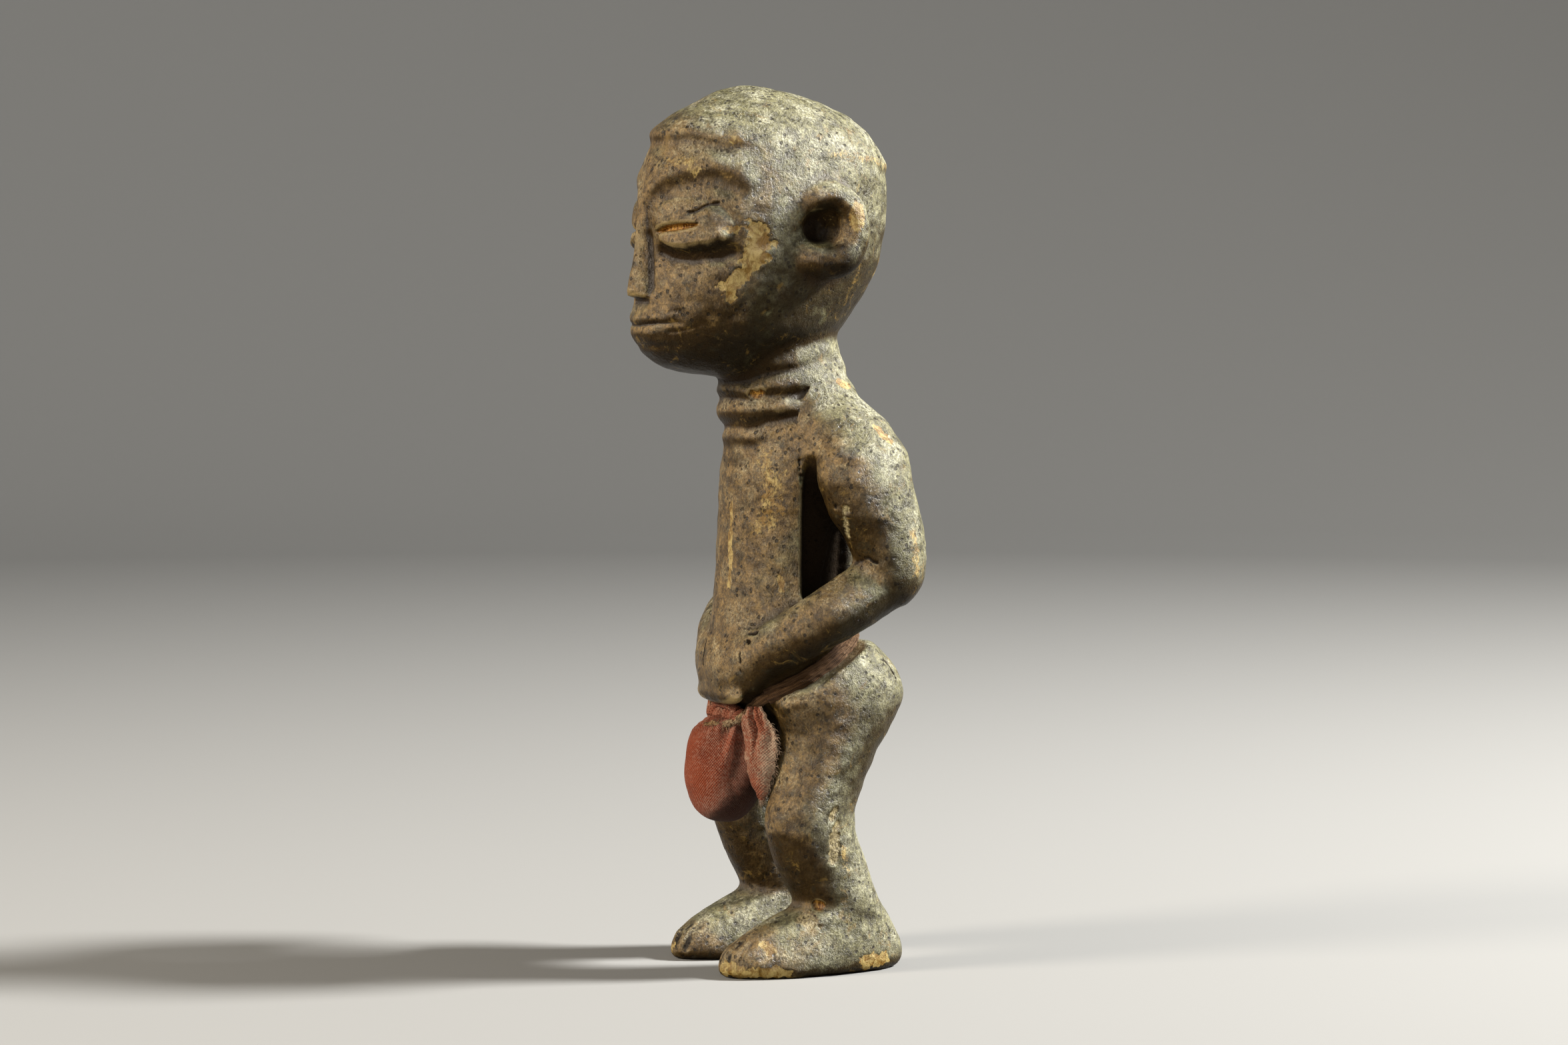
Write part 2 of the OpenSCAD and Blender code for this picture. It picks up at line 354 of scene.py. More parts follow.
def carve_head(marks):
    """The hair's edge, brow, eye, nose and mouth, the same on both sides."""
    points = marks.points
    turn = turn_of(points, HEAD_MIDDLE, HEAD_HALF)
    z = points[:, 2]
    skin = np.stack([turn * PER_DEGREE, z], 1)
    skin = skin + 0.45 * np.stack([noise(points, 9, 1), noise(points, 9, 2)], 1)
    across = np.abs(points[:, 0])
    face = 1 - ramp(turn, 60, 85)
    push = marks.push

    # the cap of hair: its edge is a low step over the brow, and a worn groove at the back
    edge = np.interp(turn, [0, 30, 65, 93, 150, 180], [268, 268, 266, 262.5, 259, 257.5])
    edge = edge + 1.0 * noise(points, 8, 3)
    firm = np.interp(turn, [0, 35, 62, 78, 92, 108, 180], [0.75, 1.0, 0.75, 0.05, 0.1, 0.6, 0.7])
    push -= 0.7 * firm * ramp(z, edge - 1.6, edge + 1.6) * (1 - ramp(z, edge + 2, edge + 12))
    push += 0.40 * firm * bell(z - edge + 2.4, 1.8)
    marks.finish("ochre", 0.75 * firm * bell(z - edge - 0.6, 2.2) * ramp(turn, 40, 60))

    # brow: an arch that stands over a hollow
    arch = chart([(3, 245), (9, 251.5), (20, 255), (34, 257), (51, 258.5), (62, 256), (71, 249)])
    under = chart([(6, 245.5), (14, 249.4), (24, 251), (36, 252), (50, 252.6), (59, 250.5), (65, 246)])
    push += stroke(skin, arch, 3.2, -1.0)
    push += stroke(skin, under, 4.0, 0.8)

    # closed eye: a fold above, a long slit and a thick rolled lower lid with a hollow below
    push += dome(skin, (37 * PER_DEGREE, 240), (15, 8.5), 1.9, slant=-0.1, edge=0.7)
    push += stroke(skin, chart([(16, 235.4), (26, 234.4), (38, 234), (50, 234.6), (60, 237)]), 2.3, -1.6)
    push += stroke(skin, chart([(13, 232), (24, 229.6), (38, 228.4), (54, 229.4), (64, 232.5)]), 2.1, 1.6)
    push += stroke(skin, chart([(37, 243.4), (43, 244), (47, 245.6), (54, 246.4)]), 0.5, 0.9)
    gap, along = to_path(skin, chart([(16, 237.7), (25, 238.9), (34, 239.6), (43, 239.8)]))
    opening = 0.95 * np.sqrt(np.clip(np.sin(np.pi * np.clip(along, 0.02, 0.98)), 0, 1)) + 0.1
    slit = ramp(opening - gap, -0.3, 0.5)
    push += 2.6 * slit
    marks.finish("raw", slit)

    # nose: a straight ridge that widens to a flat cut base, with a groove down each side
    rise = np.interp(z, [216.4, 217.4, 219, 222, 228, 235, 241, 247, 254],
                     [0, 3.7, 4.3, 4.3, 3.6, 2.8, 1.9, 1.0, 0])
    half = np.interp(z, [217, 220, 226, 236, 246], [6.2, 5.8, 4.4, 3.2, 3.2])
    push -= face * rise * np.clip(1 - (across / half) ** 2, 0, 1) ** 0.75
    push += face * stroke(skin, chart([(7, 239), (8, 233), (10, 225), (12, 218)]), 1.8, 1.0)
    push += face * 0.6 * bell(z - 215.4, 1.2) * ramp(7 - across, 0, 2)

    # mouth: two soft lips and the line between them
    line = 208 + 0.03 * np.minimum(turn, 40)
    wide = face * (1 - ramp(turn, 14, 34))
    push -= 0.7 * wide * bell(z - line - 2.4, 1.9)
    push -= 0.45 * wide * bell(z - line + 2.6, 2.0)
    push += 0.55 * face * (1 - ramp(turn, 22, 36)) * bell(z - line - 0.4 * noise(points, 5, 6), 0.55)
    push += 0.3 * wide * bell(z - 201.4, 1.2)
    push += face * dome(skin, (42 * PER_DEGREE, 219), (15, 11), 0.7)
    for heights in ([(22, 212), (34, 213.4)], [(24, 206), (40, 207.5)]):
        push += stroke(skin, chart(heights), 0.5, 0.25)


def carve_ears(marks):
    """The deep hollow inside each ear's rim, which opens forwards, and the heavy lobe."""
    low, high = box_mm("left_ear")
    middle = (low + high) / 2
    out = np.abs(marks.points[:, 0])
    y = marks.points[:, 1] - middle[1]
    z = marks.points[:, 2] - middle[2]
    bowl = np.sqrt(((y + 0.4) / 5.6) ** 2 + ((z - 1.8) / 6.4) ** 2)
    pit = np.sqrt(((y + 5.4) / np.where(y < -5.4, 5.6, 5.2)) ** 2 + ((z - 1.0) / 5.4) ** 2)
    near = ramp(out, low[0] - 6, low[0] - 3)
    mouth = ramp(y, -10.5, -8.5) * (1 - ramp(y, -5.5, -2.5))
    marks.push += near * (0.5 * ramp(1.15 - bowl, 0, 0.7) + 2.4 * ramp(1.15 - pit, 0, 0.6))
    # painted shade in the pit: near black at its open front, darker over the rest of it
    marks.finish("soot_and_shade", 0.9 * near * ramp(1.05 - pit, 0, 0.35) * mouth)
    marks.finish("soot_and_shade", 0.35 * near * ramp(1.05 - pit, 0, 0.4))
    marks.finish("ochre", 0.25 * near * ramp(1.05 - bowl, 0, 0.5))
    lobe = np.sqrt((y / 7) ** 2 + ((z + 9) / 5.5) ** 2)
    marks.push -= 1.1 * ramp(1.2 - lobe, 0, 1) * ramp(out, low[0], low[0] + 4)
    # painted shade under the lobe, partly soot
    marks.finish("soot_and_shade", 0.7 * ramp(1.15 - lobe, 0, 0.4) * ramp(out, low[0], low[0] + 4))
    rim = np.sqrt(((y - 5) / 3.5) ** 2 + ((z - 4.5) / 7) ** 2)
    marks.finish("ochre", 0.8 * ramp(1.0 - rim, 0, 0.5) * ramp(out, low[0] + 2, high[0] - 1))


def carve_neck(marks):
    """Rings that slope up to the back, with worn grooves between them."""
    points = marks.points
    turn = turn_of(points, (0, 8.5, 0), (20, 20, 1))
    z = points[:, 2] + 0.7 * noise(points, 6, 5)
    for heights, depth in (((190.8, 194, 197, 201), 0.7), ((184.6, 185.8, 188.4, 193.5), 1.0),
                           ((175.8, 179, 183.6, 189.5), 1.0)):
        groove = np.interp(turn, [30, 80, 110, 180], heights)
        marks.push += depth * np.interp(turn, [0, 90, 125, 180], [1, 0.9, 0.4, 0.3]) * bell(z - groove, 1.9)
        marks.push -= 0.45 * np.interp(turn, [0, 100, 140], [1, 0.7, 0.3]) * bell(z - groove + 4.2, 2.0)


def carve_flank(marks):
    """Under each arm the side of the body is cut back behind a crisp upright edge."""
    high = box_mm("torso")[1]
    x, y, z = np.abs(marks.points[:, 0]), marks.points[:, 1], marks.points[:, 2]
    reach = ramp(z, 117, 121) * (1 - ramp(z, high[2] - 24, high[2] - 13))
    inside = ramp(x, 14, 18) * (1 - ramp(x, high[0] + 0.5, high[0] + 2))
    cut = ramp(y, 2.6, 6.0) * (1 - ramp(y, 17, 23)) * inside
    marks.push += 3.6 * reach * cut
    # the cut-back side is painted near black: painted shadow of the arm
    marks.finish("soot_and_shade", reach * ramp(y, 2.2, 4.0) * (1 - ramp(y, 20, 26)) * ramp(x, 12, 16)
                 * (1 - ramp(x, high[0] + 0.2, high[0] + 1.2)))


def on_skin(field, node, places):
    """Points on the carving's skin: each place is a direction in degrees from the front towards the
    figure's left, seen from above the middle of a node, and a part of that node's height."""
    low, high = box_mm(node)
    reach = np.arange(0, 0.5 * math.hypot(*(high - low)[:2]) + 3, 0.25)
    found = []
    for turn, up in places:
        way = np.array([math.sin(math.radians(turn)), -math.cos(math.radians(turn)), 0])
        spots = (low + high) / 2 + reach[:, None] * way
        spots[:, 2] = low[2] + up * (high[2] - low[2])
        inside = np.flatnonzero(sample(field, CELL, 0, spots) < 0)
        found.append(spots[inside[-1]] if len(inside) else spots[-1])
    return np.array(found)


# Each mark lies along places on one node's skin, as on_skin takes them, with a half width in mm, a depth in
# mm, the finish that shows there and how ragged its edge is in mm. A stain is ochre that shows faintly. The
# near-black finish along cracks, creases and finger lines is partly grime and partly painted shade.
MARKS = (
    ("head", [(63, 0.51), (69, 0.46), (59, 0.37), (50, 0.30)], 2.9, 0.2, "ochre", 2.6),
    ("head", [(64, 0.47), (66, 0.43)], 4.2, 0.0, "stain", 3.0),
    ("head", [(37, 0.51), (50, 0.50), (62, 0.52)], 1.1, 0.1, "ochre", 1.8),
    ("head", [(20, 0.74), (32, 0.72)], 3.0, 0.0, "stain", 2.2),
    ("head", [(-60, 0.45), (-50, 0.33)], 3.0, 0.2, "ochre", 2.4),
    ("head", [(170, 0.45), (160, 0.36)], 2.4, 0.0, "stain", 2.2),
    ("neck", [(37, 0.53), (45, 0.53)], 1.3, 2.2, "raw", 0.6),
    ("neck", [(118, 0.62), (124, 0.60)], 2.0, 0.2, "ochre", 1.2),
    ("torso", [(9, 0.68), (10, 0.54), (11, 0.40)], 1.1, 0.1, "ochre", 1.3),
    ("torso", [(48, 0.84), (56, 0.77), (50, 0.62)], 4.0, 0.0, "stain", 3.2),
    ("torso", [(56, 0.64), (60, 0.66)], 2.6, 0.0, "stain", 2.2),
    ("torso", [(60, 0.43), (62, 0.40)], 1.2, 0.1, "ochre", 1.4),
    ("torso", [(74, 0.83), (76, 0.76)], 0.7, 1.2, "soot_and_shade", 0.8),
    ("torso", [(40, 0.24), (47, 0.25)], 0.8, 0.9, "soot_and_shade", 0.6),
    ("torso", [(-40, 0.75), (-50, 0.6)], 3.6, 0.0, "stain", 3.0),
    ("torso", [(175, 0.72), (178, 0.55)], 2.4, 0.0, "stain", 2.4),
    ("left_upper_arm", [(33, 0.48), (30, 0.33), (32, 0.20)], 0.5, 0.8, "soot_and_shade", 0.7),
    ("left_upper_arm", [(44, 0.46), (40, 0.34)], 1.0, 0.35, "bare", 1.2),
    ("left_upper_arm", [(118, 0.34), (124, 0.16)], 2.2, 0.0, "stain", 2.0),
    ("left_upper_arm", [(100, 0.84), (110, 0.78)], 1.6, 0.2, "ochre", 1.4),
    ("left_upper_arm", [(45, 0.20), (70, 0.23), (85, 0.20)], 0.4, 0.5, "soot_and_shade", 0.5),
    ("right_upper_arm", [(-60, 0.70), (-70, 0.60)], 0.5, 0.6, "soot_and_shade", 0.7),
    ("right_upper_arm", [(-120, 0.80), (-110, 0.72)], 2.0, 0.2, "ochre", 1.6),
    ("left_hand", [(10, 0.70), (20, 0.45)], 0.5, 0.6, "soot_and_shade", 0.6),
    ("right_hand", [(10, 0.80), (25, 0.50)], 0.5, 0.6, "soot_and_shade", 0.6),
    ("left_hand", [(48, 0.86), (66, 0.84)], 0.8, 0.5, "soot_and_shade", 0.7),
    ("hips", [(118, 0.80), (124, 0.66)], 0.4, 0.5, "soot_and_shade", 0.6),
    ("hips", [(-128, 0.74), (-132, 0.60)], 0.4, 0.5, "soot_and_shade", 0.6),
    ("left_thigh", [(92, 0.30), (86, 0.08)], 1.3, 0.4, "bare", 1.4),
    ("left_calf", [(84, 0.98), (80, 0.80), (82, 0.58)], 1.5, 0.45, "bare", 1.4),
    ("left_calf", [(100, 0.70), (104, 0.40)], 1.6, 0.0, "stain", 1.8),
    ("right_calf", [(-80, 0.80), (-84, 0.50)], 1.4, 0.4, "bare", 1.4),
    ("left_calf", [(52, 0.03), (60, 0.02)], 1.4, 2.2, "raw", 0.6),
    ("left_foot", [(50, 0.86), (66, 0.78)], 2.6, 0.5, "bare", 1.6),
    ("left_foot", [(22, 0.52), (28, 0.42)], 1.5, 0.1, "ochre", 1.6),
    ("left_foot", [(4, 0.14), (20, 0.10), (40, 0.08)], 2.0, 0.1, "ochre", 2.4),
    ("left_foot", [(140, 0.16), (155, 0.20)], 2.4, 0.1, "ochre", 2.0),
    ("right_foot", [(0, 0.14), (-20, 0.10), (-40, 0.08)], 2.0, 0.1, "ochre", 2.4),
    ("right_foot", [(-150, 0.18), (-165, 0.14)], 2.2, 0.1, "ochre", 2.0),
)


def carve_hands(marks):
    """The fingers' square lower edge in front."""
    y, z = marks.points[:, 1], marks.points[:, 2]
    low = box_mm("right_hand")[0]
    marks.push -= 2.2 * bell(y - low[1] - 3.6, 2.5) * bell(z - low[2] - 2.8, 2.8)


def carve_marks(marks, tracks):
    """Chips, cracks, holes and worn patches, each in its own place."""
    for (node, places, width, depth, finish, ragged), path in zip(MARKS, tracks):
        part = marks.near(path, 9)
        if len(part.which) == 0:
            continue
        gap, _ = to_path(part.points, path)
        gap = gap + ragged * (0.7 * noise(part.points, 2.6, 21) + 0.5 * noise(part.points, 0.9, 22))
        shown = ramp(width - gap, -0.2, 0.35)
        part.push += depth * shown
        if finish == "stain":
            part.finish("ochre", 0.55 * ramp(width - gap, -1.5, 2))
        else:
            part.finish(finish, shown)
        marks.take(part)


def carve_toes(marks):
    """Short notches between the toes, fanned round the front of each foot."""
    for side in ("left", "right"):
        low, high = box_mm(side + "_foot")
        length = high[1] - low[1]
        for share in (-0.62, -0.22, 0.2, 0.6):
            x = (low[0] + high[0]) / 2 + share * 0.36 * (high[0] - low[0])
            front = low[1] + (0.02 + 0.10 * share * share) * length
            path = np.array([(x, front + 0.115 * length, 0.58 * high[2]),
                             (x * 1.02, front + 0.03 * length, 0.42 * high[2]),
                             (x * 1.04, front, 0.2 * high[2])])
            part = marks.near(path, 5)
            gap, along = to_path(part.points, path)
            part.push += 1.1 * bell(gap, 1.1) * ramp(along, 0, 0.3)
            # painted shade in each notch
            part.finish("soot_and_shade", 0.6 * bell(gap, 0.9) * ramp(along, 0, 0.3))
            marks.take(part)


def relief(points, tracks):
    """Everything that is carved or worn, and the shade painted in cracks, creases and hollows, at points in
    mm.
    """
    marks = Marks(points)
    x, z = np.abs(points[:, 0]), points[:, 2]
    for work, chosen in ((carve_head, z > HEAD_LOW[2] - 1), (carve_ears, (z > HEAD_LOW[2] + 20) & (x > 22)),
                         (carve_neck, (z > 168) & (z < 206) & (x < 22)), (carve_flank, (z > 110) & (z < 180)),
                         (carve_hands, (z > 80) & (z < 96) & (x < 24) & (points[:, 1] < -8))):
        part = marks.part(chosen)
        work(part)
        marks.take(part)
    carve_marks(marks, tracks)
    carve_toes(marks)
    marks.push += 0.30 * noise(points, 13, 11)
    marks.push += 0.17 * noise(points, 4.5, 12)
    marks.push += 0.10 * noise(points, 2.2, 13)
    return marks


def melted(one, other, width):
    """The union of two fields, rounded where they meet."""
    share = np.clip(0.5 + 0.5 * (other - one) / width, 0, 1)
    return other * (1 - share) + one * share - width * share * (1 - share)


# in mm: how far the edges are rounded, how far the relief reaches into the smooth skin and out of it, and
# how far from the carved skin the field is kept
ROUNDED, CARVED_IN, CARVED_OUT, BAND = 1.15, 3.2, 5.4, 3


def carve():
    """The whole carving's field on the fine cells, and each wooden node's own field."""
    fields = {}
    body = np.full(COUNT, REACH, np.float32)
    arms = body.copy()
    for name in WOOD:
        points, triangles = node_mesh(name)
        start = np.floor(points.min(0) - ORIGIN).astype(int) - int(REACH)
        start = np.maximum(start, 0)
        stop = np.minimum(np.ceil(points.max(0) - ORIGIN).astype(int) + int(REACH) + 1, COUNT)
        field = solid_field(points, start, stop - start, triangles=triangles)
        fields[name] = (field, start)
        group = arms if "arm" in name or "hand" in name else body
        part = group[tuple(slice(a, b) for a, b in zip(start, stop))]
        np.minimum(part, field, out=part)
    high = ORIGIN[2] + COARSE * np.arange(COUNT[2], dtype=np.float32)
    shoulder = box_mm("torso")[1][2] - 15
    width = 1.2 + 7 * ramp(high, shoulder - 6, shoulder + 3) + 5 * ramp(high, shoulder + 6, shoulder + 14)
    whole = melted(arms, body, width).astype(np.float32)
    # nodes meet at flat faces: the skin just outside them all has no such cracks
    outside = 0.4
    points, triangles, quads = surface_of(whole, outside)
    whole = solid_field(points * COARSE + ORIGIN, (0, 0, 0), COUNT, triangles=triangles, quads=quads)
    whole = whole + outside
    whole = blur(whole, ROUNDED / COARSE)
    if CELL < COARSE:
        whole = blur(refine(whole), 0.8)
    flat = whole.reshape(-1)
    near = np.flatnonzero((flat > -CARVED_IN) & (flat < CARVED_OUT))
    place = np.stack(np.unravel_index(near, whole.shape), 1).astype(np.float32)
    tracks = [on_skin(whole, node, places) for node, places, *_ in MARKS]
    flat[near] += relief(place * np.float32(CELL) + ORIGIN.astype(np.float32), tracks).push
    np.clip(whole, -BAND, BAND, out=whole)
    return whole, fields, tracks


def quads_only(triangles, quads):
    """Faces of four corners, where a triangle repeats its last corner."""
    if len(triangles) == 0:
        return quads
    return np.vstack([quads, np.column_stack([triangles, triangles[:, 2]])])


def mesh_of(name, points, faces, normals, values):
    """A mesh in metres from points in mm and groups of faces, each group an array with a row for a face."""
    mesh = bpy.data.meshes.new(name)
    sizes = np.concatenate([np.full(len(group), group.shape[1]) for group in faces])
    corners = np.concatenate([group.ravel() for group in faces])
    mesh.vertices.add(len(points))
    mesh.vertices.foreach_set("co", (points * 0.001).astype(np.float32).ravel())
    mesh.loops.add(len(corners))
    mesh.loops.foreach_set("vertex_index", corners.astype(np.int32))
    mesh.polygons.add(len(sizes))
    mesh.polygons.foreach_set("loop_start", np.concatenate([[0], np.cumsum(sizes)[:-1]]).astype(np.int32))
    mesh.update(calc_edges=True)
    mesh.validate()
    mesh.polygons.foreach_set("use_smooth", np.ones(len(mesh.polygons), bool))
    for label, value in values.items():
        mesh.attributes.new(label, "FLOAT", "POINT").data.foreach_set("value", value.astype(np.float32))
    if normals is not None:
        mesh.normals_split_custom_set_from_vertices(normals)
    mesh.update()
    return mesh


def make_carving():
    """One skin over the whole carving, cut into a piece for each wooden node by which is nearest."""
    field, fields, tracks = carve()
    points, triangles, quads = surface_of(field, 0.0)
    faces = quads_only(triangles, quads).astype(np.int64)
    points = points * CELL + ORIGIN
    whole = mesh_of("whole", points, [faces], None, {})
    normals = np.empty(len(points) * 3, np.float32)
    whole.vertex_normals.foreach_get("vector", normals)
    normals = normals.reshape(-1, 3)
    centre = points[faces].mean(1)
    values = {
        # how far a blurred skin lies from the real one: more on edges, less in hollows
        "crest": sample(blur(field, 0.9 / CELL), CELL, 0, points),
        "swell": sample(blur(field, 2.2 / CELL), CELL, 0, points),
    }
    marks = relief(points, tracks)
    for finish in Marks.FINISHES:
        values[finish] = getattr(marks, finish)
    nearest = np.full(len(faces), np.inf)
    owner = np.zeros(len(faces), int)
    for number, name in enumerate(WOOD):
        block, start = fields[name]
        inside = ((centre > ORIGIN + start) & (centre < ORIGIN + start + np.array(block.shape) - 1)).all(1)
        which = np.flatnonzero(inside)
        gap = sample(block, COARSE, start, centre[which])
        closer = gap < nearest[which]
        owner[which[closer]] = number
        nearest[which[closer]] = gap[closer]
    bpy.data.meshes.remove(whole)
    material = crust_material()
    for number, name in enumerate(WOOD):
        own = faces[owner == number]
        used, inverse = np.unique(own, return_inverse=True)
        own = inverse.reshape(-1, 4)
        looks = {label: value[used] for label, value in values.items()}
        mesh = mesh_of(name + "_skin", points[used], [own], normals[used], looks)
        mesh.materials.append(material)
        piece = link("carved_" + name, mesh)
        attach(piece, "figure")
        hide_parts(name)


# --- materials ---------------------------------------------------------------------------

class Shade:
    """A material's node tree, built by short calls."""

    def __init__(self, name):
        self.material = bpy.data.materials.new(name)
        self.material.use_nodes = True
        self.tree = self.material.node_tree
        self.shader = self.tree.nodes["Principled BSDF"]
        self.place = self.new("TexCoord").outputs["Object"]

    def new(self, kind, **settings):
        made = self.tree.nodes.new("ShaderNode" + kind)
        for label, value in settings.items():
            setattr(made, label, value)
        return made

    def put(self, socket, value):
        if isinstance(value, bpy.types.NodeSocket):
            self.tree.links.new(value, socket)
        elif isinstance(value, (tuple, list)) and len(value) == 3 and socket.type == "RGBA":
            socket.default_value = (*value, 1)
        else:
            socket.default_value = value

    def finish(self, name, value):
        self.put(self.shader.inputs[name], value)

    def attribute(self, name):
        return self.new("Attribute", attribute_name=name).outputs["Fac"]

    def math(self, operation, *values, clamp=False):
        made = self.new("Math", operation=operation, use_clamp=clamp)
        for socket, value in zip(made.inputs, values):
            self.put(socket, value)
        return made.outputs[0]

    def times(self, one, other):
        return self.math("MULTIPLY", one, other)

    def scaled(self, value, factor, plus, clamp=False):
        """value times factor, plus something."""
        return self.math("MULTIPLY_ADD", value, factor, plus, clamp=clamp)

    def stretched(self, scale):
        made = self.new("Mapping")
        self.put(made.inputs["Vector"], self.place)
        self.put(made.inputs["Scale"], scale)
        return made.outputs[0]

    def noise(self, lump, detail=3.0, rough=0.55, warp=0.0, place=None):
        """Noise with lumps of about the given size in mm, about 0.5 on average."""
        made = self.new("TexNoise")
        self.put(made.inputs["Vector"], place or self.place)
        self.put(made.inputs["Scale"], 1000.0 / lump)
        self.put(made.inputs["Detail"], detail)
        self.put(made.inputs["Roughness"], rough)
        self.put(made.inputs["Distortion"], warp)
        return made.outputs["Fac"]

    def cells(self, size):
        """Distance from the middle of cells of about the given size in mm."""
        made = self.new("TexVoronoi")
        self.put(made.inputs["Vector"], self.place)
        self.put(made.inputs["Scale"], 1000.0 / size)
        return made.outputs["Distance"]

    def step(self, value, low, high):
        """0 below low, 1 above high, and smooth between; the other way round if low is above high."""
        made = self.new("MapRange", interpolation_type="SMOOTHSTEP")
        self.put(made.inputs["Value"], value)
        self.put(made.inputs["From Min"], low)
        self.put(made.inputs["From Max"], high)
        return made.outputs["Result"]

    def mix(self, share, one, other, blend="MIX"):
        made = self.new("Mix", data_type="RGBA", blend_type=blend)
        self.put(made.inputs[0], share)
        self.put(made.inputs[6], one)
        self.put(made.inputs[7], other)
        return made.outputs[2]

    def tint(self, colour, mask, paint, most):
        """A colour with paint over it where the mask is 1, as thick as most."""
        return self.mix(self.times(mask, most), colour, paint)

    def facing(self, axis):
        """How much the surface faces along an axis, -1 to 1."""
        geometry = self.new("NewGeometry")
        made = self.new("VectorMath", operation="DOT_PRODUCT")
        self.put(made.inputs[0], geometry.outputs["Normal"])
        self.put(made.inputs[1], axis)
        return made.outputs["Value"]

    def bump(self, *layers):
        """Layers of (height 0 to 1, depth in mm), each laid on the one before."""
        normal = None
        for height, depth in layers:
            made = self.new("Bump")
            self.put(made.inputs["Height"], height)
            self.put(made.inputs["Distance"], depth * 0.001)
            if normal is not None:
                self.put(made.inputs["Normal"], normal)
            normal = made.outputs["Normal"]
        self.finish("Normal", normal)


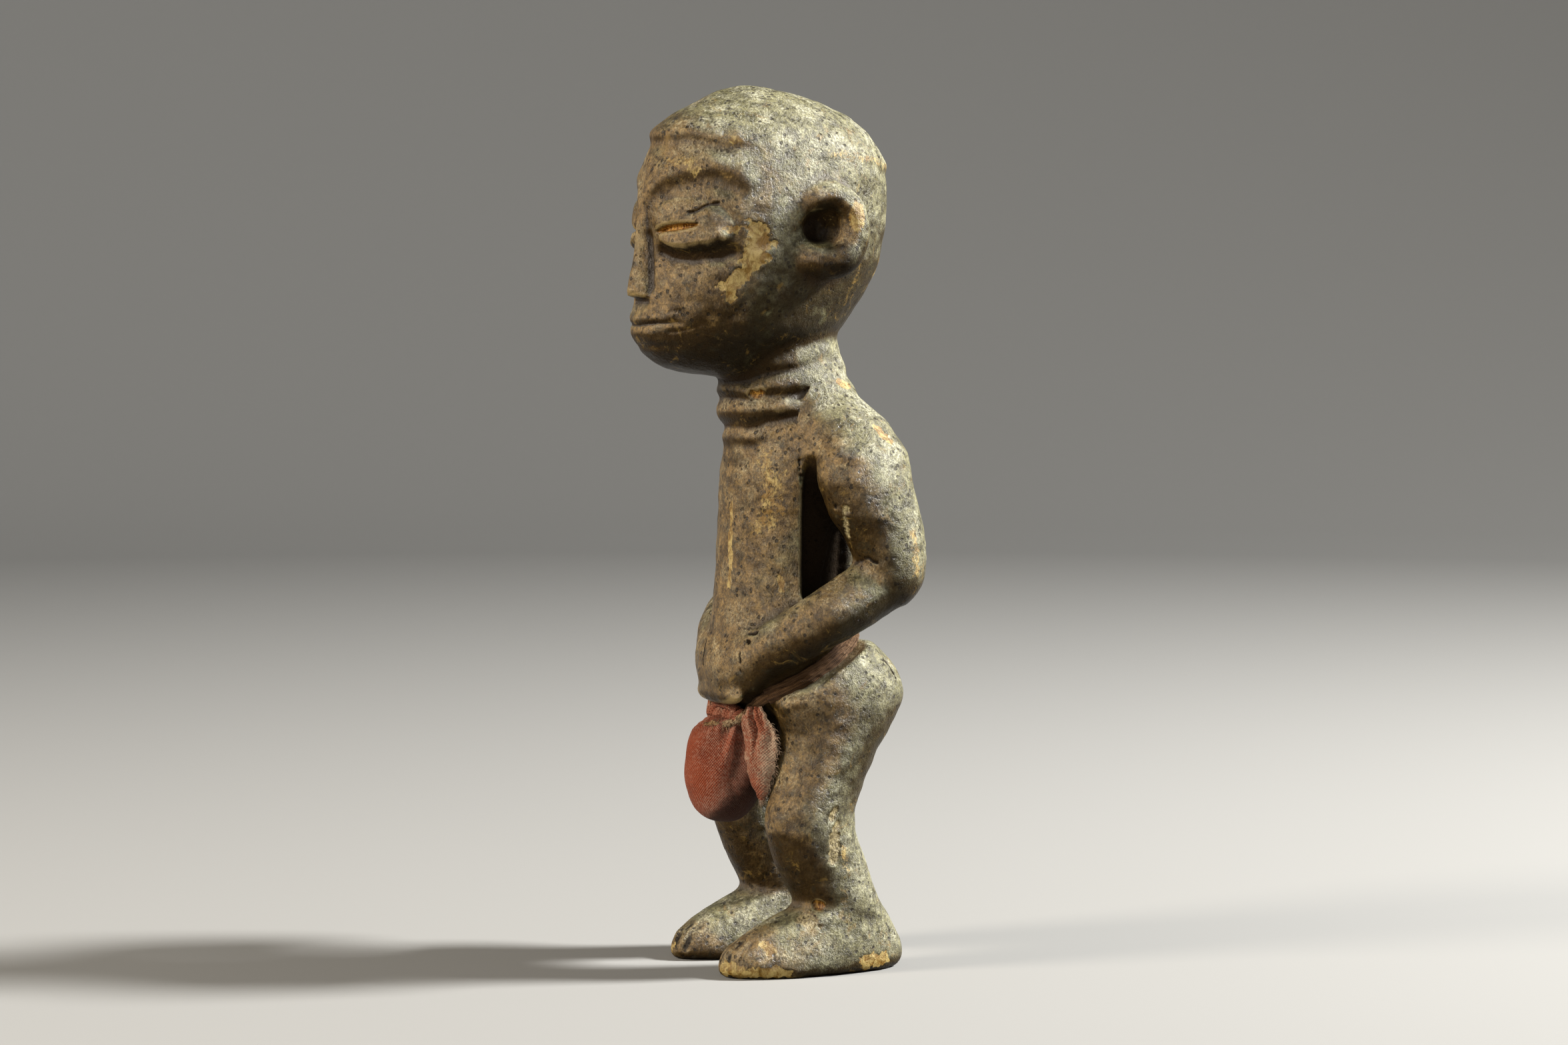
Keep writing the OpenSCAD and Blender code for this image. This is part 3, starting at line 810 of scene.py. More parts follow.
def crust_material():
    """Old patina on wood: crust, bloom, dark creases, worn edges and bare wood, with painted shade underneath
    and painted warm light at the front and painted light on top.
    """
    shade = Shade("patinated_wood")
    crest = shade.attribute("crest")
    swell = shade.attribute("swell")
    soot_and_shade = shade.attribute("soot_and_shade")
    front = shade.step(shade.facing((0, -1, 0)), -0.25, 0.7)
    under = shade.step(shade.facing((0, 0, -1)), -0.18, 0.30)
    facing_down_shade = shade.step(shade.facing((0, 0, -1)), 0.20, 0.75)
    above = shade.step(shade.facing((0, 0, 1)), -0.35, 0.75)
    broad = shade.noise(30, 2, 0.5)
    patchy = shade.noise(10, 6, 0.65, 0.5)
    blotch = shade.noise(3.4, 6, 0.68, 0.7)
    fine = shade.noise(0.9, 4, 0.7)
    grit = shade.noise(0.42, 2, 0.6)
    grain = shade.noise(0.7, 3, 0.6, 0.3, shade.stretched((1.0, 1.0, 0.16)))

    # thick olive-grey crust with pale bloom: browner at the front, partly its own colour and partly painted
    # warm light, and greyer with more bloom on top, partly painted light from above
    grey = shade.mix(shade.step(blotch, 0.34, 0.66), (0.060, 0.054, 0.020), (0.250, 0.236, 0.125))
    brown = shade.mix(shade.step(blotch, 0.34, 0.66), (0.070, 0.039, 0.009), (0.265, 0.165, 0.056))
    share = shade.scaled(broad, 1.1, shade.scaled(front, 0.55, -0.52))
    share = shade.scaled(above, -0.34, share)
    share = shade.step(shade.scaled(patchy, 0.3, share), 0.18, 0.52)
    colour = shade.mix(share, grey, brown)
    bloom = shade.times(shade.step(patchy, 0.46, 0.62), shade.step(fine, 0.38, 0.62))
    bloomed = shade.mix(share, (0.53, 0.52, 0.385), (0.44, 0.36, 0.205))
    # more bloom where the surface faces up: partly real bloom, partly painted light from above
    bloom = shade.times(bloom, shade.scaled(above, 0.70, 0.25))
    colour = shade.mix(bloom, colour, bloomed)
    flecks = shade.step(shade.noise(0.75, 5, 0.78, 0.4), 0.34, 0.66)
    colour = shade.mix(0.75, colour, shade.mix(flecks, (0.30, 0.28, 0.24), (1.55, 1.55, 1.50)), "MULTIPLY")

    # undersides dark brown, partly thin crust and partly painted shade, and near black where they face
    # straight down, which is painted shade; ochre patches all over
    thin = shade.times(under, shade.step(shade.noise(7, 4, 0.6), 0.20, 0.42))
    colour = shade.tint(colour, thin, (0.025, 0.0125, 0.002), 0.88)
    # painted shade: near black where the surface faces straight down
    colour = shade.tint(colour, facing_down_shade, (0.009, 0.005, 0.001), 0.82)
    ochred = shade.times(shade.step(shade.noise(6.5, 7, 0.72, 0.9), 0.57, 0.66), 0.55)
    colour = shade.mix(ochred, colour, (0.25, 0.155, 0.040))

    # dark mottles, pits, and darker colour in narrow creases and in broad hollows
    mottle = shade.times(shade.step(shade.noise(4.6, 5, 0.65, 0.5), 0.53, 0.66), shade.step(fine, 0.34, 0.60))
    colour = shade.tint(colour, mottle, (0.026, 0.021, 0.010), 0.8)
    spread = shade.scaled(fine, 0.36, -0.18)
    pits = shade.step(shade.math("ADD", shade.cells(2.3), spread), 0.30, 0.16)
    pits = shade.times(pits, shade.step(shade.noise(6, 3), 0.44, 0.56))
    colour = shade.tint(colour, pits, (0.022, 0.014, 0.006), 0.9)
    darker_in_creases = shade.step(shade.scaled(fine, 0.12, crest), 0.0, -0.16)
    colour = shade.tint(colour, darker_in_creases, (0.012, 0.007, 0.003), 0.9)
    hollow = shade.step(swell, 0.05, -0.45)
    colour = shade.tint(colour, hollow, (0.036, 0.019, 0.006), 0.6)

    # worn edges, and the wood where the crust is gone
    worn = shade.step(shade.scaled(patchy, 0.3, crest), 0.30, 0.46)
    colour = shade.tint(colour, worn, (0.36, 0.26, 0.11), 0.5)
    # near black in cracks, creases, the ear pits and the cut-back flanks: partly grime, partly painted shade
    colour = shade.tint(colour, soot_and_shade, (0.011, 0.006, 0.002), 0.94)
    ochre = shade.attribute("ochre")
    speckle = shade.noise(1.5, 6, 0.75)
    ochre = shade.step(shade.scaled(speckle, 1.9, ochre), 1.30, 1.62)
    golden = shade.mix(shade.step(blotch, 0.4, 0.62), (0.23, 0.125, 0.022), (0.52, 0.385, 0.14))
    colour = shade.tint(colour, ochre, golden, 0.9)
    bare = shade.attribute("bare")
    peeled = shade.mix(shade.step(fine, 0.4, 0.6), (0.14, 0.105, 0.045), (0.42, 0.345, 0.18))
    colour = shade.mix(bare, colour, peeled)
    raw = shade.attribute("raw")
    fibre = shade.mix(shade.step(grain, 0.38, 0.62), (0.20, 0.070, 0.006), (0.64, 0.34, 0.07))
    colour = shade.mix(raw, colour, fibre)
    shade.finish("Base Color", colour)

    polish = shade.scaled(blotch, 0.42, 0.15)
    polish = shade.scaled(soot_and_shade, 0.4, polish)
    shine = shade.scaled(shade.math("MAXIMUM", under, soot_and_shade), -0.60, 0.68)
    shade.finish("Specular IOR Level", shine)
    shade.finish("Roughness", shade.scaled(ochre, 0.12, polish, clamp=True))
    shade.bump((patchy, 0.8), (blotch, 0.75), (grain, 0.20), (fine, 0.42), (grit, 0.16),
               (shade.math("SUBTRACT", 1.0, pits), 0.3))
    return shade.material


# --- cloth ---------------------------------------------------------------------------------

HINGE = np.array(frame["record"]["behaviour"]["joints"][0]["pos_m"]) * 1000
HEM_LOW, HEM_HIGH = box_mm("pouch_hem")
BAG_LOW, BAG_HIGH = box_mm("pouch_cover")
BAG_MIDDLE = (BAG_LOW + BAG_HIGH) / 2
# where the pleats meet, at the figure's left
GATHER = np.array([HEM_HIGH[0] + 1.6, HINGE[1] + 0.6, HEM_HIGH[2] - 0.8])
SIDES = (1, -1)
HEM_PITCH, FINE_PITCH, PITCH = 0.42, 0.47, 0.5      # mm from thread to thread


def to_side(place, side):
    """A place at the figure's left as it is at side 1, or mirrored to the right at side -1."""
    return np.array(place) * (side, 1, 1)


def cloth_material(name, tones, pitch, dust, depth, slant=0.0):
    """Plain weave whose threads follow the piece's own weave_u and weave_v, in mm."""
    shade = Shade(name)
    dark, middle, light = tones
    u = shade.scaled(shade.noise(3.0, 2), 0.6, shade.attribute("weave_u"))
    v = shade.scaled(u, slant, shade.attribute("weave_v"))
    along = shade.math("SINE", shade.times(u, math.pi / pitch))
    across = shade.math("SINE", shade.times(v, math.pi / pitch))
    weave = shade.scaled(shade.times(along, across), 0.5, 0.5)
    fluff = shade.noise(0.5, 3, 0.7)
    slub = shade.noise(1.3, 3, 0.6, 0.0, shade.stretched((0.4, 0.4, 1.5)))
    colour = shade.mix(shade.step(shade.noise(9, 3, 0.5), 0.30, 0.55), dark, middle)
    # paler thread tops and darker gaps between threads: partly the yarn's own colour, partly painted
    # highlight and painted shade of the weave
    colour = shade.tint(colour, shade.step(weave, 0.25, 0.95), light, 0.5)
    colour = shade.tint(colour, shade.step(weave, 0.30, 0.02), tuple(0.3 * c for c in dark), 0.6)
    colour = shade.tint(colour, shade.step(slub, 0.52, 0.7), light, 0.3)
    dusty = shade.scaled(shade.noise(0.8, 5, 0.75), 1.7, shade.attribute("dust"))
    dusty = shade.step(dusty, 1.0, 1.65)
    colour = shade.tint(colour, dusty, dust, 0.85)
    # near black where the dark value is high: grime, and painted shade where a piece puts it in folds and on
    # its shaded side
    grime = shade.scaled(shade.noise(2.2, 5, 0.7), 0.8, shade.attribute("grime"))
    grime = shade.step(grime, 0.70, 1.45)
    colour = shade.tint(colour, grime, (0.016, 0.007, 0.004), 0.9)
    shade.finish("Base Color", colour)
    shade.finish("Roughness", shade.scaled(fluff, 0.25, 0.70))
    shade.finish("Sheen Weight", 0.08)
    shade.finish("Sheen Tint", (0.9, 0.6, 0.5))
    shade.finish("Specular IOR Level", 0.15)
    shade.finish("Sheen Roughness", 0.45)
    shade.bump((slub, 0.16), (weave, depth), (fluff, 0.12))
    return shade.material


def soiled(points, values, **looks):
    """Sets dust and grime, each from (level, variation, lump in mm, seed)."""
    for label, (level, varies, lump, seed) in looks.items():
        values[label] = level + varies * noise(points, lump, seed)


def cloth_piece(name, points, faces, values, material, body, slot, *nodes):
    """A piece of cloth that rides on a body and stands for CAD nodes, if any are named."""
    full = {label: np.zeros(len(points), np.float32) for label in ("weave_u", "weave_v", "dust", "grime")}
    full.update(values)
    mesh = mesh_of(name, points, faces, None, full)
    mesh.materials.append(material)
    piece = link(name, mesh)
    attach(piece, body)
    if nodes:
        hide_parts(*nodes)
    return piece


def smooth_path(places, count):
    """Points evenly spaced on a smooth curve through a few places."""
    places = np.asarray(places, float)
    wide = np.vstack([2 * places[0] - places[1], places, 2 * places[-1] - places[-2]])
    made = []
    for i in range(1, len(wide) - 2):
        a, b, c, d = wide[i - 1:i + 3]
        for t in np.linspace(0, 1, 24, endpoint=False):
            bend = (2 * a - 5 * b + 4 * c - d) * t ** 2 + (3 * b - a - 3 * c + d) * t ** 3
            made.append(0.5 * (2 * b + (c - a) * t + bend))
    made.append(wide[-2])
    made = np.array(made)
    along = np.concatenate([[0], np.cumsum(np.linalg.norm(np.diff(made, axis=0), axis=1))])
    even = np.linspace(0, along[-1], count)
    return np.stack([np.interp(even, along, made[:, k]) for k in range(3)], 1)


def rings(count, around):
    """Numbers of the points in rings of points, of the points after them, and the faces between rings."""
    number = np.arange(count * around).reshape(-1, around)
    after = np.roll(number, -1, 1)
    return number, after, np.stack([number[:-1], number[1:], after[1:], after[:-1]], -1).reshape(-1, 4)


def sweep(path, outline, up, around=28):
    """A closed tube along a path. outline(along, angle) gives (sideways, upwards) in mm at distances along
    the path and angles round it, and up is the direction that upwards keeps nearest to."""
    ways = np.gradient(path, axis=0)
    ways /= np.linalg.norm(ways, axis=1)[:, None]
    up = np.broadcast_to(np.asarray(up, float), path.shape)
    beside = np.cross(ways, up)
    beside /= np.linalg.norm(beside, axis=1)[:, None]
    above = np.cross(beside, ways)
    along = np.concatenate([[0], np.cumsum(np.linalg.norm(np.diff(path, axis=0), axis=1))])
    angle = np.arange(around) * 2 * math.pi / around
    side, rise = np.broadcast_arrays(*outline(along[:, None], angle[None, :]))
    ring = path[:, None] + side[..., None] * beside[:, None] + rise[..., None] * above[:, None]
    points = np.vstack([ring.reshape(-1, 3), path[0], path[-1]])
    number, after, quads = rings(len(path), around)
    first, last = len(points) - 2, len(points) - 1
    ends = [np.stack([np.full(around, first), number[0], after[0]], 1),
            np.stack([np.full(around, last), after[-1], number[-1]], 1)]
    size = np.sqrt((side ** 2 + rise ** 2).mean())
    u = np.broadcast_to(along[:, None], side.shape)
    v = np.broadcast_to(angle[None, :] * size, side.shape)
    values = {"weave_u": np.append(u.ravel(), [0, along[-1]]), "weave_v": np.append(v.ravel(), [0, 0])}
    return points, [quads, *ends], values


def joined(*parts):
    """Several (points, face groups, values) as one."""
    points, faces, values, before = [], [], {}, 0
    for more, groups, looks in parts:
        points.append(more)
        faces += [group + before for group in groups]
        for label, value in looks.items():
            values.setdefault(label, []).append(value)
        before += len(more)
    return np.vstack(points), faces, {label: np.concatenate(value) for label, value in values.items()}


def rope(radius, turns_per_mm):
    """The outline of a cord of two twisted strands."""
    def outline(along, angle):
        lay = angle * 2 + 2 * math.pi * turns_per_mm * along
        thick = radius * (0.76 + 0.24 * np.abs(np.cos(lay / 2)) ** 0.7)
        thick = thick * (1 + 0.05 * np.sin(along * 0.9) + 0.04 * np.sin(along * 2.3 + 1))
        return thick * np.cos(angle), thick * np.sin(angle)
    return outline


def threads(starts, ways, lengths, seed, radius=0.12):
    """Loose frayed threads: thin bent tubes from each start."""
    random = np.random.default_rng(seed)
    parts = []
    for start, way, length in zip(starts, ways, lengths):
        bend = random.normal(0, 0.3, 3) * length
        middle = start + way * length * 0.5 + 0.5 * bend
        end = start + way * length + bend + np.array([0, 0, -0.25 * length])
        path = smooth_path([start, middle, end], 7)

        def outline(along, angle, radius=radius, length=length):
            thick = radius * np.clip(1 - 0.5 * along / length, 0.3, 1)
            return thick * np.cos(angle), thick * np.sin(angle)
        parts.append(sweep(path, outline, (0.3, 0.2, 1.0), around=6))
    return joined(*parts)


ENLARGED = 12                       # the solver needs a larger bag than a few centimetres
FRAMES = 20


def pushed_out(points, faces, held, voxel, most):
    """A closed shell of cloth filled tight: a cloth simulation under pressure, on an enlarged copy, where
    held is how firmly each point stays, and most is the furthest that one may move, in mm."""
    big = 0.001 * ENLARGED
    mesh = bpy.data.meshes.new("shell")
    mesh.from_pydata((points * big).tolist(), [], faces.tolist())
    shell = link("shell", mesh)
    even = shell.modifiers.new("Even", "REMESH")
    even.mode = "VOXEL"
    even.voxel_size = voxel * big
    shell.data = bpy.data.meshes.new_from_object(shell.evaluated_get(bpy.context.evaluated_depsgraph_get()))
    shell.modifiers.clear()
    count = len(shell.data.vertices)
    start = np.empty(count * 3, np.float32)
    shell.data.vertices.foreach_get("co", start)
    start = start.reshape(-1, 3)
    group = shell.vertex_groups.new(name="held")
    for number, weight in enumerate(held(start / big)):
        if weight > 0.01:
            group.add([number], float(weight), "REPLACE")
    cloth = shell.modifiers.new("Cloth", "CLOTH")
    cloth.settings.quality = 5
    cloth.settings.tension_stiffness = 12
    cloth.settings.compression_stiffness = 12
    cloth.settings.bending_stiffness = 0.4
    cloth.settings.use_pressure = True
    cloth.settings.uniform_pressure_force = 4
    cloth.settings.effector_weights.gravity = 0
    cloth.settings.vertex_group_mass = "held"
    for number in range(1, FRAMES + 1):
        bpy.context.scene.frame_set(number)
    done = bpy.data.meshes.new_from_object(shell.evaluated_get(bpy.context.evaluated_depsgraph_get()))
    shell.modifiers.clear()
    bpy.context.scene.frame_set(1)
    end = np.empty(count * 3, np.float32)
    done.vertices.foreach_get("co", end)
    move = end.reshape(-1, 3) - start
    far = np.linalg.norm(move, axis=1)[:, None]
    end = start + move * np.minimum(1, most * big / np.maximum(far, 1e-9))
    corners = [list(face.vertices) for face in done.polygons]
    quads = np.array([face + face[-1:] * (4 - len(face)) for face in corners])
    bpy.data.objects.remove(shell)
    return end / big, quads


def closed_oval(middle, half, rows, columns, squareness):
    """An upright oval shell of four-cornered faces, with its poles at the top and bottom."""
    polar = np.linspace(0, math.pi, rows + 1)[:, None]
    heading = np.arange(columns)[None, :] * 2 * math.pi / columns
    out = np.sin(polar) ** squareness
    x = half[0] * out * np.sin(heading)
    y = -half[1] * out * np.cos(heading)
    z = half[2] * np.cos(polar) * np.ones_like(heading)
    points = np.stack([x, y, z], -1)[1:-1].reshape(-1, 3) + middle
    points = np.vstack([points, middle + (0, 0, half[2]), middle - (0, 0, half[2])])
    number, after, quads = rings(rows - 1, columns)
    top, bottom = len(points) - 2, len(points) - 1
    caps = [np.stack([np.full(columns, top), number[0], after[0], after[0]], 1),
            np.stack([np.full(columns, bottom), after[-1], number[-1], number[-1]], 1)]
    return points, np.vstack([quads, *caps])


def without_repeats(faces):
    """Faces as lists of corners, with a repeated last corner left out."""
    three = faces[:, 2] == faces[:, 3]
    return [faces[~three], faces[three][:, :3]]


def gathered(points):
    """Pleats that spread over the bag from the two ends of its hem: how far out the cloth stands there,
    from -1 to 1, and how near the gather is, from 0 to 1."""
    fold = np.zeros(len(points))
    close = np.zeros(len(points))
    for side in SIDES:
        from_it = points - to_side(GATHER, side)
        gap = np.linalg.norm(from_it, axis=1)
        level = from_it @ np.array([side * BESIDE.x, BESIDE.y, 0]) * -1
        bearing = np.arctan2(-from_it[:, 2], level)
        near = np.exp(-gap / 12) * ramp(points[:, 0] * side, -4, 4)
        lines = np.sin(12 * bearing + 0.9 * np.sin(3 * bearing) + 0.05 * gap)
        crease = bell(bearing - 1.30, 0.10) + 0.8 * bell(bearing - 1.02, 0.08)
        fold += near * (lines - 1.3 * crease) * ramp(gap, 0, 3)
        close = np.maximum(close, near)
    return fold, close


def make_bag():
    """The stuffed ball of the pouch, gathered towards the two ends of its hem."""
    half = (BAG_HIGH - BAG_LOW) / 2 - 0.5
    points, faces = closed_oval(BAG_MIDDLE, half, 96, 160, 0.86)
    top = BAG_HIGH[2]
    shell, around = closed_oval(BAG_MIDDLE, half, 40, 64, 0.86)
    points, faces = pushed_out(shell, around, lambda spots: ramp(spots[:, 2], top - 9, top - 4),
                               voxel=0.42, most=0.8)
    from_middle = points - BAG_MIDDLE
    outward = from_middle / half ** 2
    outward /= np.maximum(np.linalg.norm(outward, axis=1), 1e-6)[:, None]
    fold, close = gathered(points)
    heading = np.arctan2(from_middle[:, 0], -from_middle[:, 1])
    tucks = np.sin(26 * heading + 2 * np.sin(3 * heading)) * ramp(points[:, 2], top - 9, top - 3)
    crumple = noise(points, 7, 31) + 0.4 * noise(points, 2.6, 32)
    valley = 2.0 * fold + 0.22 * tucks
    points = points + outward * (valley + 0.22 * crumple)[:, None]
    lift = bell(points[:, 1] - HINGE[1], 5.0) * ramp(from_middle[:, 2], 3, 12)
    points[:, 2] += 0.85 * lift * np.maximum(0, HINGE[2] - points[:, 2])
    toward_shade = from_middle @ np.array([0.35, 0.72, -0.60])
    values = {
        "weave_u": heading * half[0] * 1.02,
        "weave_v": np.arccos(np.clip(from_middle[:, 2] / half[2], -1, 1)) * 16.0,
        "dust": 0.13 + 0.75 * close + 0.40 * bell(toward_shade - 6.0, 5.0) + 0.10 * noise(points, 5, 33),
        # painted shade in the pleat valleys, painted shadow on the lower side to the camera's right, darker
        # towards the bottom, and grime at random
        "grime": (0.75 * ramp(-valley, 0.1, 0.9) + 1.20 * ramp(toward_shade, 0, 13)
                  + 0.35 * ramp(-from_middle[:, 2], 9, 17) + 0.10 * noise(points, 6, 34)),
    }
    tones = (0.110, 0.016, 0.006), (0.210, 0.038, 0.013), (0.36, 0.10, 0.048)
    material = cloth_material("red_cloth", tones, FINE_PITCH, (0.38, 0.20, 0.14), 0.28)
    bag = cloth_piece("pouch_bag", points, without_repeats(faces), values, material, "pouch", "red_cloth",
                      "pouch_cover", "pouch_stuffing")


def make_hem():
    """The bag's frayed rolled rim, and the gathered sleeve of cloth that hides the cord."""
    shoulder = BAG_MIDDLE + (0, 0, BAG_HIGH[2] - BAG_MIDDLE[2])
    places = [GATHER + (0.5, 0.2, 0.3), shoulder + (10.4, 0.2, -1.0), shoulder + (7.8, -2.3, -2.6),
              shoulder + (4.6, -4.4, -3.0), shoulder + (1.8, -5.6, -3.2), shoulder + (-0.8, -5.8, -4.4),
              shoulder + (-3.0, -5.0, -6.4)]
    path = smooth_path(places, 170)

    def rim(along, angle):
        lay = 2 * angle + 1.3 * along
        thick = 1.15 + 0.22 * np.sin(lay) + 0.16 * np.sin(0.9 * along + angle) + 0.10 * np.sin(3.7 * along)
        return thick * np.cos(angle), 0.9 * thick * np.sin(angle)
    roll = sweep(path, rim, (0, 0, 1))
    random = np.random.default_rng(41)
    count = 260
    spots = path[random.integers(3, 140, count)] + random.normal(0, 0.6, (count, 3))
    ways = random.normal(0, 1, (count, 3)) * (0.6, 0.5, 0.4) + (0.5, -0.5, -0.4)
    ways /= np.linalg.norm(ways, axis=1)[:, None]
    fray = threads(spots, ways, random.uniform(0.7, 2.0, count), 42)
    tan = cloth_material("hem_cloth", ((0.120, 0.055, 0.020), (0.23, 0.125, 0.052), (0.42, 0.30, 0.16)),
                         HEM_PITCH, (0.42, 0.33, 0.21), 0.2, slant=0.8)
    points, faces, values = joined(roll, fray)
    soiled(points, values, dust=(0.30, 0.3, 4, 43), grime=(0.20, 0.4, 3, 44))
    cloth_piece("pouch_hem_rim", points, faces, values, tan, "pouch", "hem_cloth", "pouch_hem")

    x = np.linspace(HEM_LOW[0], HEM_HIGH[0], 150)
    line = np.stack([x, np.full_like(x, HINGE[1]), np.full_like(x, HINGE[2])], 1)

    def sleeve(along, angle):
        pleat = 0.34 * np.sin(2.1 * along + 0.7 * np.sin(2 * angle)) + 0.18 * np.sin(5.3 * along + angle)
        thick = 3.0 + pleat + 0.2 * np.sin(2 * angle + 0.4 * along)
        return thick * np.cos(angle), thick * np.sin(angle)
    points, faces, values = sweep(line, sleeve, (0, 0, 1), around=40)
    soiled(points, values, dust=(0.2, 0.3, 4, 45), grime=(0.35, 0.4, 3, 46))
    red = cloth_material("sleeve_cloth", ((0.13, 0.030, 0.014), (0.22, 0.060, 0.030), (0.36, 0.15, 0.09)),
                         FINE_PITCH, (0.36, 0.22, 0.15), 0.16)
    cloth_piece("pouch_hem_sleeve", points, faces, values, red, "pouch", "hem_cloth")


FLAP_TURN = math.radians(38)
FLAP_HEIGHT = 30.3                  # mm
CLOTH_THICK = 0.0005                # m


def flap_ways(side):
    """The directions across a flap, away from the ball, and out of its face."""
    return (np.array([side * math.cos(FLAP_TURN), math.sin(FLAP_TURN), 0]),
            np.array([side * math.sin(FLAP_TURN), -math.cos(FLAP_TURN), 0]))


def flap_sheet(side):
    """Points and values of the loose gathered corner of cloth beside the pouch."""
    across, face = flap_ways(side)
    corner = to_side(GATHER, side) + (0, 0, 2.6) + 0.4 * across + 0.6 * face
    rows, columns = 120, 90
    v = np.linspace(0, 1, rows)[:, None]
    u = np.linspace(0, 1, columns)[None, :]
    inner = np.interp(v, [0, 0.10, 0.20, 0.5, 0.85, 1], [0.9, -0.6, -1.4, -2.0, 0.6, 4.0])
    outer = np.interp(v, [0, 0.08, 0.20, 0.32, 0.55, 0.75, 0.92, 1],
                      [5.4, 7.2, 10.0, 11.7, 11.0, 9.2, 7.3, 5.6])
    outer = outer + 0.26 * np.sin(v * 31) + 0.20 * np.sin(v * 83 + 1)
    place = inner + (outer - inner) * u
    crown = (2.4 * np.sin(math.pi * np.clip(u * 0.80 + 0.12, 0, 1))
             * np.sin(math.pi * np.clip(0.10 + 0.80 * v, 0, 1)))
    fan = u + 0.08 * np.sin(5 * v) + 0.05 * np.sin(11 * v + 4 * u)
    strong = 1 - 0.75 * ramp(v, 0.10, 0.85)
    folds = np.full_like(fan, -0.35)
    for at, wide, high in ((0.05, 0.05, 0.9), (0.22, 0.07, 1.2), (0.43, 0.06, 0.9), (0.63, 0.09, 1.2),
                           (0.85, 0.07, 0.8)):
        folds += high * bell(fan - at - 0.05 * np.sin(7 * v + 9 * at), wide * (1 + v)) * strong
    ridge = 0.9 * bell(u - 0.26 - 0.14 * v, 0.10) * (1 - ramp(v, 0.35, 0.75))
    tuck = -0.9 * bell(u - 0.52 + 0.10 * v, 0.06) * (1 - ramp(v, 0.22, 0.55))
    curl = 0.9 * ramp(u, 0.84, 1.0) * bell(v - 0.28, 0.22) - 0.9 * ramp(u, 0.8, 1) * ramp(v, 0.45, 0.8)
    level = np.stack([place.ravel(), (30 * v * np.ones_like(u)).ravel(), np.zeros(place.size)], 1)
    crumple = (0.50 * noise(level, 4.2, 57 + side) + 0.28 * noise(level, 1.9, 59 + side)).reshape(place.shape)
    out = crown + folds + ridge + tuck + curl + crumple * ramp(v, 0.05, 0.3) - 0.9 * ramp(v, 0.8, 1)
    out = out - 2.6 * (1 - ramp(u, 0, 0.42)) * ramp(v, 0.12, 0.38)
    points = (corner + place[..., None] * across + out[..., None] * face
              - (FLAP_HEIGHT * v * np.ones_like(u))[..., None] * np.array([0, 0, 1.0]))
    v = np.broadcast_to(v, place.shape)
    u = np.broadcast_to(u, place.shape)
    valley = ramp(-(folds + tuck + ridge), 0.1, 0.9)
    red = bell(u - 0.70, 0.20) * (1 - ramp(v, 0.14, 0.36))
    values = {
        "weave_u": place + 2.2 * np.sin(0.9 * v), "weave_v": FLAP_HEIGHT * v,
        "dust": np.clip(0.36 + 0.34 * ramp(u, 0.45, 1) - 0.5 * red - 0.25 * ramp(v, 0.55, 0.95)
                        + 0.15 * crumple, 0, 1),
        # painted shade in the fold valleys; darker in a patch near the top, towards the bottom and towards
        # the ball
        "grime": (0.50 * valley + 0.40 * red + 0.65 * ramp(v, 0.50, 1.0) * ramp(u, 0.9, 0.1)
                  + 0.2 * ramp(v, 0.6, 1)),
    }
    return points, {label: value.ravel() for label, value in values.items()}


def make_flap(side, material):
    node = "left_flap" if side > 0 else "right_flap"
    grid, values = flap_sheet(side)
    across, face = flap_ways(side)
    rows, columns = grid.shape[:2]
    number = np.arange(rows * columns).reshape(rows, columns)
    quads = np.stack([number[:-1, :-1], number[1:, :-1], number[1:, 1:], number[:-1, 1:]], -1).reshape(-1, 4)
    if side < 0:
        quads = quads[:, ::-1]
    flap = cloth_piece(node + "_cloth", grid.reshape(-1, 3), [quads], values, material, "pouch",
                       "dusty_cloth", node)
    thick = flap.modifiers.new("Thick", "SOLIDIFY")
    thick.thickness = CLOTH_THICK
    thick.offset = 0
    random = np.random.default_rng(51 + side)
    count = 190
    rim = np.vstack([grid[20:-1, -1], grid[-1, 20:], grid[24:60, -1], grid[24:60, -4]])
    spots = rim[random.integers(0, len(rim), count)] + random.normal(0, 0.25, (count, 3))
    ways = random.normal(0, 0.5, (count, 3)) + across * 0.7 + face * 0.3 + np.array([0, 0, -0.6])
    ways /= np.linalg.norm(ways, axis=1)[:, None]
    points, faces, fray_values = threads(spots, ways, random.uniform(0.4, 1.7, count), 52, 0.10)
    fray_values["dust"] = np.full(len(points), 0.9)
    fray = cloth_piece(node + "_fray", points, faces, fray_values, material, "pouch", "dusty_cloth")


# the waist band, in mm: half its depth, how far out its front ends are, and its middle's height
WAIST_HALF_DEPTH, BAND_END, BAND_HEIGHT = 24.6, 19.0, 98.0
BAND_TILT = math.radians(30)


def waist_ring(count):
    """A line round the middle of the waist band, from its left front end round the back."""
    high = box_mm("waist_band")[1]
    along = np.array([0, math.cos(BAND_TILT), math.sin(BAND_TILT)])
    upright = np.array([0, -math.sin(BAND_TILT), math.cos(BAND_TILT)])
    middle = np.array([0, high[1] - 1.25 - WAIST_HALF_DEPTH * along[1], BAND_HEIGHT])
    half = high[0] - 1.2
    start = math.acos(BAND_END / half)
    turn = np.linspace(-start, math.pi + start, count)
    ring = middle + np.cos(turn)[:, None] * (half, 0, 0) + np.sin(turn)[:, None] * WAIST_HALF_DEPTH * along
    return ring, upright


